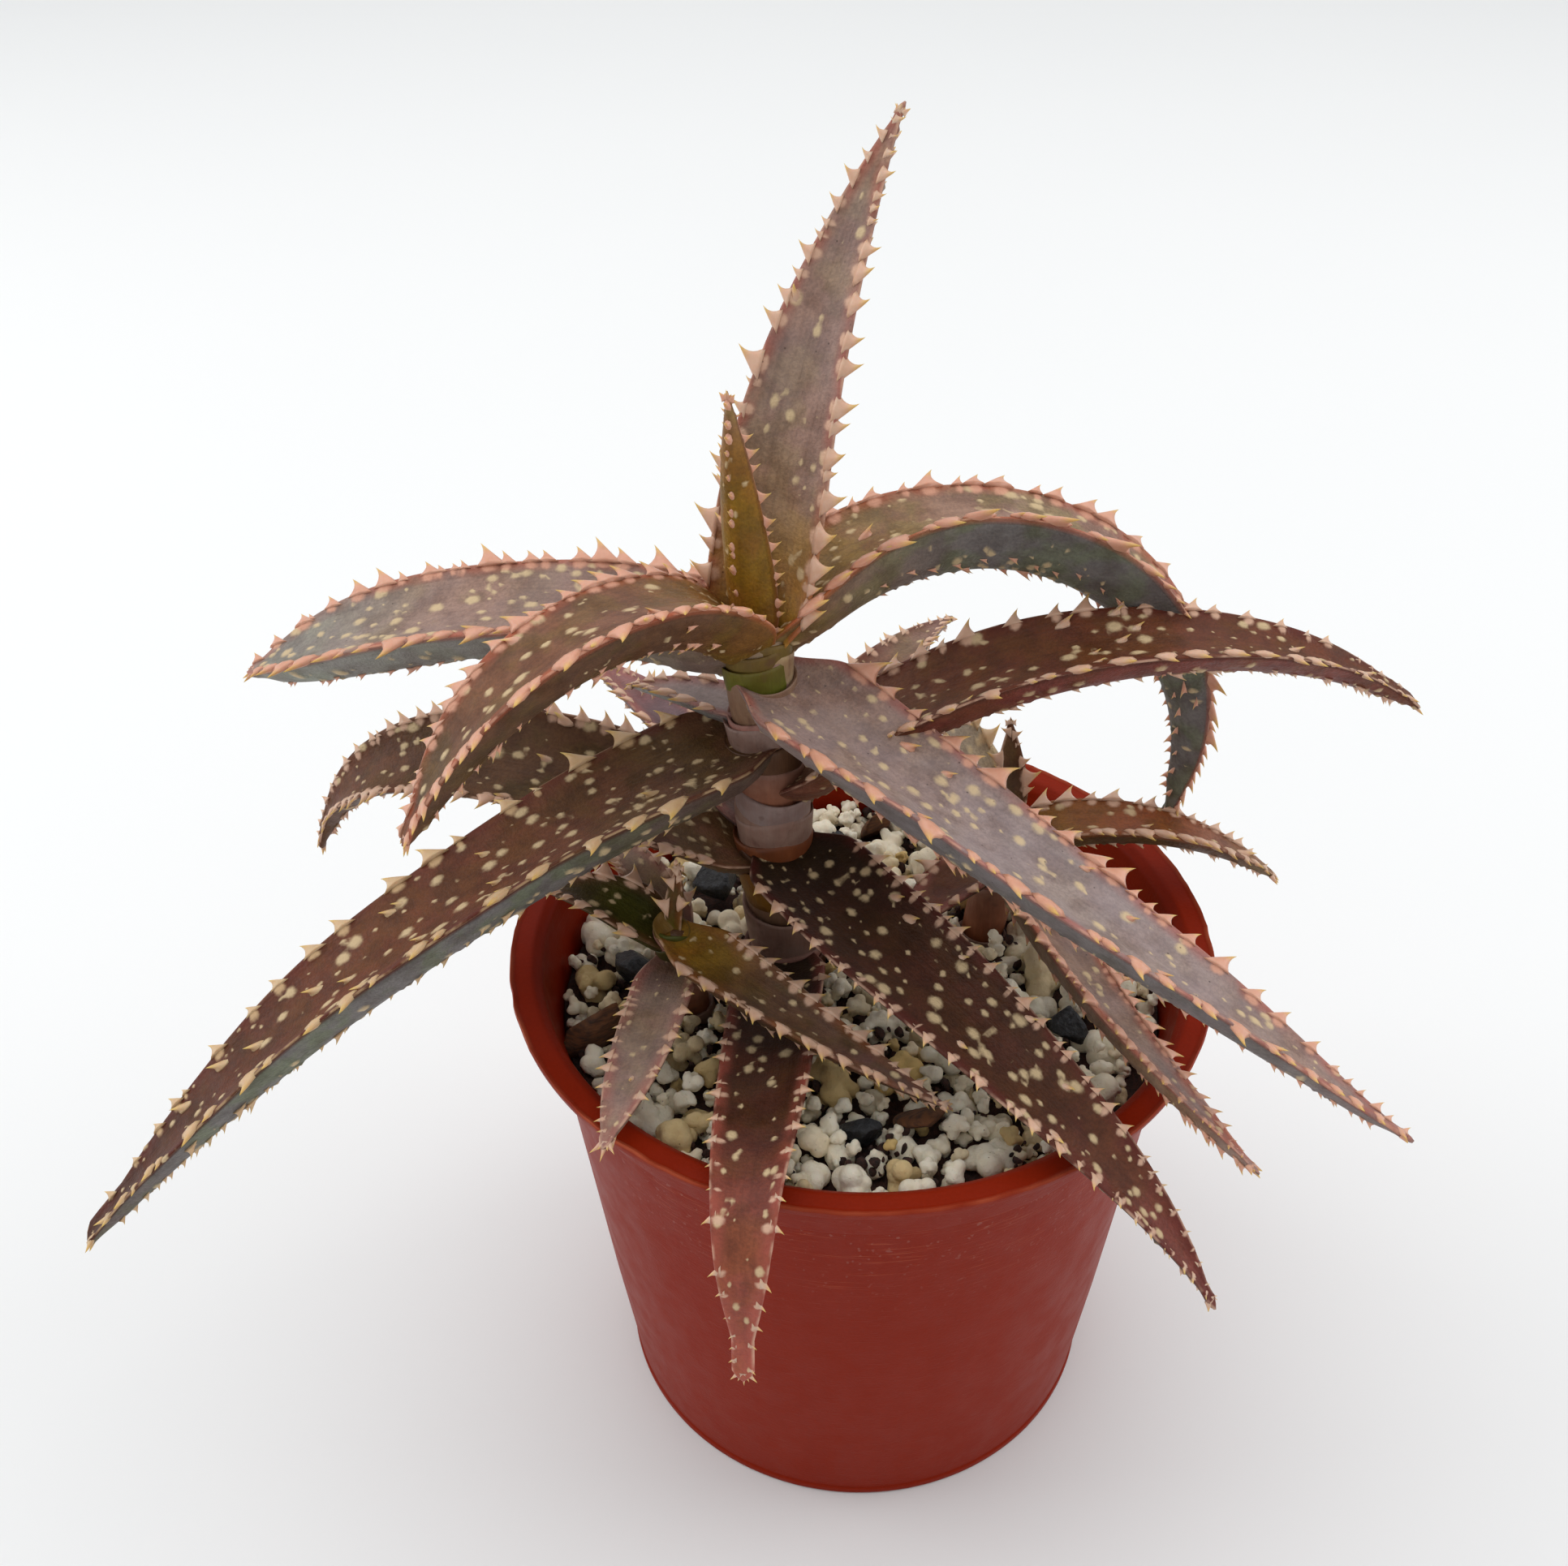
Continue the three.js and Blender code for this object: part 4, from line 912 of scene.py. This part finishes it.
def lumpy(points, rng, lobes):
    """Star-shaped union of round lobes on a drawn-out middle, as a blown grain has."""
    stretch = rng.uniform(0.75, 1.3, 3)
    centres = unit(rng.normal(size=(lobes, 3))) * rng.uniform(0.3, 0.66, (lobes, 1)) * stretch
    centres = np.vstack([centres, np.zeros(3)])
    radii = np.append(rng.uniform(0.26, 0.44, lobes), 0.5)
    reach = points @ centres.T
    square = reach ** 2 - (centres ** 2).sum(1) + radii ** 2
    surface = np.where(square > 0, reach + np.sqrt(np.maximum(square, 0)), 0.0)
    return points * np.maximum(surface.max(1), 0.4)[:, None]


def split_block(points, rng, planes):
    """Block with flat fracture faces."""
    normals = unit(rng.normal(size=(planes, 3)))
    offsets = rng.uniform(0.55, 0.95, planes)
    reach = points @ normals.T
    distance = np.where(reach > 0.05, offsets / np.maximum(reach, 0.05), 9.0).min(1)
    return points * np.minimum(distance, 1.15)[:, None]


def turned(points, rng, squash):
    axis = unit(rng.normal(size=3))
    turn = np.array(Matrix.Rotation(rng.uniform(0, 2 * np.pi), 3, Vector(axis)))
    return (points * squash) @ turn.T


GRAIN_SPACING = 0.76  # least distance of two grains, as a share of the sum of their radii
# Crumbs to try: how many, their radii and how far below or above the grit's level they lie
CRUMBS = [(2400, 0.35, 0.95, -1.4, 1.0)]
BED_DEPTH = 2.3


def grit_level(y):
    return GRIT_LEVEL - GRIT_SLOPE * y


def pot_radius(z):
    return FOOT_RADIUS + (WALL_TOP_RADIUS - FOOT_RADIUS) * z / COLLAR_BOTTOM


def inner_radius(z):
    low = pot_radius(z) - WALL_THICKNESS
    above = pot_radius(COLLAR_BOTTOM) - WALL_THICKNESS + (z - COLLAR_BOTTOM) * 0.244
    return np.where(z < COLLAR_BOTTOM, low, above)


def plant_obstacles():
    """Points and radii that stand for leaves and stems near the grit."""
    points, radii = [], []
    for leaf in LEAVES:
        s = np.linspace(0, 1, 90)
        point, _, across, up, half, depth = leaf_stations(leaf, s)
        for k in (-0.85, -0.4, 0.0, 0.4, 0.85):
            middle = face_height(leaf, half, depth, k, 1) - depth * (1 - abs(k)) / 2
            points.append(point + across * (k * half)[:, None] + up * middle[:, None])
            radii.append(depth / 2 + 0.2)
    for stem in STEMS.values():
        z = np.arange(stem["bottom"][2], stem["top"][2], 1.0)
        points.append(np.array([stem_point(stem, level) for level in z]))
        radii.append(stem_radius(stem, z) + 0.2)
    points, radii = np.concatenate(points), np.concatenate(radii)
    near = points[:, 2] < 80
    return points[near], radii[near]


def throw_grains(rng, placed, batches, obstacles):
    """Grains laid from large to small, none deep in another, in a plant or through the wall."""
    walls, thickness = obstacles
    grains = list(placed)
    for count, small, large, low, high in batches:
        for _ in range(count):
            radius = rng.uniform(small, large)
            reach = (RIM_INNER_RADIUS - 4) * np.sqrt(rng.random())
            angle = rng.uniform(0, 2 * np.pi)
            x, y = reach * np.cos(angle), reach * np.sin(angle)
            z = grit_level(y) + rng.uniform(low, high) - 0.25 * radius
            if reach + radius * 0.9 > inner_radius(z):
                continue
            spot = np.array([x, y, z])
            others = np.array(grains)
            if (np.linalg.norm(others[:, :3] - spot, axis=1)
                    < GRAIN_SPACING * (others[:, 3] + radius)).any():
                continue
            if (np.linalg.norm(walls - spot, axis=1) < thickness + 0.8 * radius).any():
                continue
            grains.append((x, y, z, radius))
    return grains[len(placed):]


def in_drift(x, y):
    """Dark crumbs gather in drifts of about a centimetre."""
    return np.sin(0.31 * x + 1.1) * np.sin(0.37 * y + 0.4 * np.sin(0.2 * x)) >= 0.12


def make_grit(rng):
    obstacles = plant_obstacles()
    fixed = [(x, y, grit_level(y) + up, radius) for x, y, radius, up in CHARCOAL + BARK]
    fines = crumbled_fines()
    make_grains(rng, fixed, obstacles)
    make_lumps(rng, "charcoal_lumps", burnt_charcoal(), CHARCOAL, 14, None)
    make_lumps(rng, "bark_pieces", split_bark(), BARK, 9, (1.2, 0.75, 0.4))
    make_crumbs(rng, fixed, obstacles, fines)
    make_bed(fines)


def make_grains(rng, fixed, obstacles):
    """Pumice and perlite: lobed grains from clean to stained, shared out between two pieces."""
    size, palette = sizes(), colours()
    large, small = in_mm(size.nodule_largest), in_mm(size.nodule_smallest)
    batches = [(90, 0.8 * large, large, -0.9, 0.9), (900, 0.45 * large, 0.8 * large, -1.6, 1.4),
               (4000, small, 0.45 * large, -2.0, 1.5)]
    clean, stained = np.array(palette.pumice), np.array(palette.pumice_stain)
    coarse, fine = sphere_points(3), sphere_points(4)
    halves = [Skin(), Skin()]
    for i, (x, y, z, radius) in enumerate(throw_grains(rng, fixed, batches, obstacles)):
        points, faces = fine if radius > 0.62 * large else coarse
        form = turned(lumpy(points, rng, rng.integers(7, 16)), rng, 1.0) * radius * 1.16
        stain = rng.random() ** 3.2
        tone = (clean + (stained - clean) * stain) * rng.uniform(0.84, 1.06)
        halves[i % 2].add(form + (x, y, z), [faces], 0, skin=np.tile(tone, (len(points), 1)))
    material = blown_pumice()
    for half, name in zip(halves, ("pumice_grains", "perlite_grains")):
        place(half.make(name, [material]), ["soil"])


def make_lumps(rng, name, material, lumps, planes, squash):
    """Lumps with flat fracture faces; without a given squash each has its own."""
    skin = Skin()
    points, faces = sphere_points(4)
    for x, y, radius, up in lumps:
        form = split_block(points, rng, planes)
        form = turned(form, rng, squash or rng.uniform(0.6, 1.1, 3)) * radius
        skin.add(form + (x, y, grit_level(y) + up), [faces])
    place(skin.make(name, [material]), ["soil"])


def make_crumbs(rng, fixed, obstacles, fines):
    crumbs = Skin()
    points, faces = sphere_points(2)
    for x, y, z, radius in throw_grains(rng, fixed, CRUMBS, obstacles):
        if in_drift(x, y):
            form = turned(split_block(points, rng, 8), rng, rng.uniform(0.5, 1.1, 3)) * radius
            crumbs.add(form + (x, y, z), [faces])
    place(crumbs.make("bark_crumbs", [fines]), ["soil"])


def make_bed(fines):
    """Bed of fines that the grains lie in: a rough top and a plain body down to the pot's floor."""
    rings, columns = 40, 160
    reach = np.linspace(0, 1, rings)[:, None]
    angle = (np.arange(columns) * 2 * np.pi / columns)[None]
    edge = inner_radius(np.array(GRIT_LEVEL - 3.0)) - 0.1
    x, y = reach * edge * np.cos(angle), reach * edge * np.sin(angle)
    z = grit_level(y) - BED_DEPTH + 0.5 * np.sin(1.3 * x + 0.7 * y) * np.cos(1.1 * y - 0.5 * x)
    top = np.stack([x, y, z], -1)
    foot = np.stack([x[-1] * 0.86, y[-1] * 0.86, np.full(columns, WALL_THICKNESS + 0.3)], -1)
    grid = np.concatenate([top, foot[None]])
    bed = Skin()
    bed.add(grid, [grid_faces(rings + 1, columns), (rings * columns + np.arange(columns))[None]])
    place(bed.make("fine_mix_bed", [fines]), ["soil"])


# Pot

def rounded_profile(corners):
    """Profile of (radius, height, fillet) corners with each corner rounded by its fillet."""
    points = []
    for i, (radius, height, fillet) in enumerate(corners):
        here = np.array([radius, height])
        if not fillet:
            points.append(here)
            continue
        before = np.array(corners[i - 1][:2]) - here
        after = np.array(corners[i + 1][:2]) - here
        start = here + before / np.linalg.norm(before) * fillet
        end = here + after / np.linalg.norm(after) * fillet
        for t in np.linspace(0, 1, 5):
            points.append((1 - t) ** 2 * start + 2 * t * (1 - t) * here + t * t * end)
    return np.array(points)


def make_pot(rng):
    columns = 240
    under = POT_HEIGHT - RIM_THICKNESS
    top_wall = pot_radius(COLLAR_BOTTOM)
    corners = [
        (0, 0, 0), (FOOT_RADIUS, 0, 0.5), (FOOT_RADIUS, FOOT_RING_HEIGHT, 0.25),
        (pot_radius(FOOT_RING_HEIGHT) - 0.3, FOOT_RING_HEIGHT + 0.2, 0.1),
        (pot_radius(20) - 0.02, 20, 0), (pot_radius(42) - 0.01, 42, 0),
        (top_wall, COLLAR_BOTTOM - 0.3, 0.15), (top_wall + COLLAR_STEP, COLLAR_BOTTOM, 0.2),
        (RIM_INNER_RADIUS + 0.2, under, 0.5), (RIM_RADIUS - 0.3, under - 0.25, 0.2),
        (RIM_RADIUS, POT_HEIGHT - 0.35, 0.08), (RIM_RADIUS - 0.12, POT_HEIGHT, 0.05),
        (RIM_RADIUS - 0.75, POT_HEIGHT - 0.32, 0.25), (RIM_INNER_RADIUS + 0.1, POT_HEIGHT - 0.28, 0.4),
        (RIM_INNER_RADIUS - WALL_THICKNESS, under, 0.5),
        (top_wall - WALL_THICKNESS, COLLAR_BOTTOM, 0.8),
        (pot_radius(WALL_THICKNESS) - WALL_THICKNESS, WALL_THICKNESS, 0.8), (0, WALL_THICKNESS, 0),
    ]
    profile = rounded_profile(corners)
    angle = np.arange(columns) * 2 * np.pi / columns
    wave = np.tile(rng.normal(0, 1, columns), 3)
    wave = np.convolve(wave, [0.25, 0.5, 0.25], "same")[columns:2 * columns]
    radius, height = profile[1:-1, 0][:, None], profile[1:-1, 1][:, None]
    below, inside = height - POT_HEIGHT, radius - RIM_RADIUS
    lip = smooth(below, -0.9, -0.2) * smooth(inside, -1.4, -0.5)
    # edge is the lip's top outer corner, where the highlight is painted
    edge = smooth(below, -0.5, -0.2) * smooth(inside, -0.7, -0.25)
    rough = in_mm(sizes().lip_roughness)
    reach = radius - lip * rough * np.abs(wave)[None]
    level = height - lip * rough * 0.8 * np.abs(np.roll(wave, 7))[None]
    grid = np.stack([reach * np.cos(angle), reach * np.sin(angle), level + 0 * reach], -1)
    rows = len(grid)
    outer = np.arange(rows)[:, None] < rows // 2
    band = np.exp(-((height - COLLAR_BOTTOM + 0.3) / 0.45) ** 2) + 0.3 * smooth(height, 66, 72)
    skin = Skin()
    hubs = rows * columns + np.array([0, 1])
    fans = [np.stack([np.full(columns, hub), *turn], -1) for hub, turn in (
        (hubs[0], (np.roll(np.arange(columns), -1), np.arange(columns))),
        (hubs[1], ((rows - 1) * columns + np.arange(columns),
                   (rows - 1) * columns + np.roll(np.arange(columns), -1))))]
    # Painted highlight along the lip's top outer edge, broken up by the lip's waver
    lip_highlight = edge * (0.55 + 0.45 * np.clip(wave, -1, 1))[None]
    scuff, lip = (np.append((share + 0 * reach).ravel(), [0, 0]) for share in (band * outer, lip_highlight))
    points = np.vstack([grid.reshape(-1, 3), [[0, 0, 0], [0, 0, WALL_THICKNESS]]])
    skin.add(points, [grid_faces(rows, columns), *fans], 0, scuff=scuff, lip=lip)
    piece = skin.make("nursery_pot", [moulded_polypropylene()])
    cut_drain_holes(piece)
    place(piece, ["pot"])


def cut_drain_holes(piece):
    for i in range(DRAIN_HOLES):
        angle = i * 2 * np.pi / DRAIN_HOLES
        form = bmesh.new()
        at = (DRAIN_HOLE_CIRCLE * np.cos(angle) * MM, DRAIN_HOLE_CIRCLE * np.sin(angle) * MM, 0)
        bmesh.ops.create_cone(form, cap_ends=True, segments=32, radius1=DRAIN_HOLE_RADIUS * MM,
                              radius2=DRAIN_HOLE_RADIUS * MM, depth=6 * MM,
                              matrix=Matrix.Translation(at))
        mesh = bpy.data.meshes.new("drain_cutter")
        form.to_mesh(mesh)
        form.free()
        cutter = bpy.data.objects.new("drain_cutter", mesh)
        bpy.context.scene.collection.objects.link(cutter)
        bpy.context.view_layer.objects.active = piece
        modifier = piece.modifiers.new("drain_hole", "BOOLEAN")
        modifier.operation, modifier.object, modifier.solver = "DIFFERENCE", cutter, "EXACT"
        bpy.ops.object.modifier_apply(modifier=modifier.name)
        bpy.data.objects.remove(cutter)


# Operators

class BuildPot(bpy.types.Operator):
    """Builds the moulded nursery pot with its collar, lip and drain holes"""
    bl_idname = "aloe.build_pot"
    bl_label = "Nursery pot"

    def execute(self, context):
        make_pot(np.random.default_rng(sizes().seed))
        return {"FINISHED"}


class BuildGrit(bpy.types.Operator):
    """Builds the pumice, charcoal and bark of the gritty mix"""
    bl_idname = "aloe.build_grit"
    bl_label = "Gritty mix"

    def execute(self, context):
        make_grit(np.random.default_rng(sizes().seed + 1))
        return {"FINISHED"}


class BuildStems(bpy.types.Operator):
    """Builds the main stem and the two offset stems with their dry sheaths"""
    bl_idname = "aloe.build_stems"
    bl_label = "Stems"

    def execute(self, context):
        rng = np.random.default_rng(sizes().seed + 2)
        materials = [clasping_leaf_base()]
        for name, stem in STEMS.items():
            make_stem(name, stem, materials, rng)
        return {"FINISHED"}


class BuildLeaves(bpy.types.Operator):
    """Builds every leaf with its spots, teeth and prickles"""
    bl_idname = "aloe.build_leaves"
    bl_label = "Leaves"

    def execute(self, context):
        materials = [waxy_leaf_skin(), horny_tooth()]
        for order, leaf in enumerate(LEAVES):
            make_leaf(leaf, order, materials)
        return {"FINISHED"}


# Stage

# The camera's place and axes are in metres, its lens and sensor in millimetres
CAMERA_PLACE = (0.0, -0.171697, 0.227901)
CAMERA_RIGHT = (0.99887, 0.04574, -0.01286)
CAMERA_UP = (-0.01733, 0.60271, 0.79777)
CAMERA_FORWARD = (-0.04424, 0.79665, -0.60282)
CAMERA_LENS = 40.994
SENSOR_WIDTH = 36.0
FLOOR_LEVEL = -0.00005  # a hair below the pot's foot, so that the two don't coincide
FLOOR_CORNERS = [(-4.0, -4.0), (4.0, -4.0), (4.0, 4.0), (-4.0, 4.0)]
AIR_COLOUR = "f6f7f8"
AIR_STRENGTH = 0.67
PLANT_MIDDLE = Vector((0, 0, 0.09))
# Soft lights: name, place, width and watts
LIGHTS = (("softbox_top", (-0.1, 0.2, 1.1), 1.5, 5.6), ("panel_left", (-0.95, 0.1, 0.5), 0.7, 2.7),
          ("panel_right", (0.95, 0.15, 0.5), 0.7, 2.7))


def add_light(name, place_at, width, watts):
    """Round soft light, turned to the middle of the plant."""
    lamp = bpy.data.lights.new(name, "AREA")
    lamp.shape, lamp.size, lamp.energy = "DISK", width, watts
    light = bpy.data.objects.new(name, lamp)
    light.location = place_at
    light.rotation_euler = (PLANT_MIDDLE - Vector(place_at)).to_track_quat("-Z", "Y").to_euler()
    bpy.context.scene.collection.objects.link(light)


class BuildStage(bpy.types.Operator):
    """Sets the pale floor, the soft lights and the camera"""
    bl_idname = "aloe.build_stage"
    bl_label = "Stage"

    def execute(self, context):
        scene = context.scene
        mesh = bpy.data.meshes.new("studio_floor")
        mesh.from_pydata([(x, y, FLOOR_LEVEL) for x, y in FLOOR_CORNERS], [], [(0, 1, 2, 3)])
        mesh.materials.append(matt_paper())
        floor = bpy.data.objects.new("studio_floor", mesh)
        scene.collection.objects.link(floor)
        world = bpy.data.worlds.new("studio_air")
        world.use_nodes = True
        air = next(node for node in world.node_tree.nodes if node.type == "BACKGROUND")
        air.inputs["Color"].default_value = linear(AIR_COLOUR)
        air.inputs["Strength"].default_value = AIR_STRENGTH
        scene.world = world
        scene.view_settings.view_transform = "Standard"
        for light in LIGHTS:
            add_light(*light)
        lens = bpy.data.cameras.new("photo_camera")
        lens.sensor_fit, lens.sensor_width, lens.lens = "HORIZONTAL", SENSOR_WIDTH, CAMERA_LENS
        lens.clip_start = 0.01
        camera = bpy.data.objects.new("photo_camera", lens)
        axes = Matrix((CAMERA_RIGHT, CAMERA_UP, tuple(-v for v in CAMERA_FORWARD))).transposed()
        camera.matrix_world = Matrix.Translation(CAMERA_PLACE) @ axes.to_4x4()
        scene.collection.objects.link(camera)
        scene.camera = camera
        return {"FINISHED"}


class AloePanel(bpy.types.Panel):
    """Sizes, colours and build steps of the potted aloe"""
    bl_idname = "VIEW3D_PT_aloe"
    bl_label = "Potted aloe"
    bl_space_type = "VIEW_3D"
    bl_region_type = "UI"
    bl_category = "Aloe"

    def draw(self, context):
        for operator in OPERATORS:
            self.layout.operator(operator.bl_idname)
        for group in (context.scene.aloe_sizes, context.scene.aloe_colours):
            box = self.layout.box()
            for name in group.__annotations__:
                box.prop(group, name)


OPERATORS = (BuildPot, BuildGrit, BuildStems, BuildLeaves, BuildStage)
CLASSES = (AloeSizes, AloeColours, *OPERATORS, AloePanel)


def register():
    for cls in CLASSES:
        bpy.utils.register_class(cls)
    bpy.types.Scene.aloe_sizes = bpy.props.PointerProperty(type=AloeSizes)
    bpy.types.Scene.aloe_colours = bpy.props.PointerProperty(type=AloeColours)


def unregister():
    del bpy.types.Scene.aloe_sizes
    del bpy.types.Scene.aloe_colours
    for cls in reversed(CLASSES):
        bpy.utils.unregister_class(cls)


def main():
    register()
    bpy.ops.aloe.build_pot()
    bpy.ops.aloe.build_grit()
    bpy.ops.aloe.build_stems()
    bpy.ops.aloe.build_leaves()
    bpy.ops.aloe.build_stage()


if __name__ == "__main__":
    main()
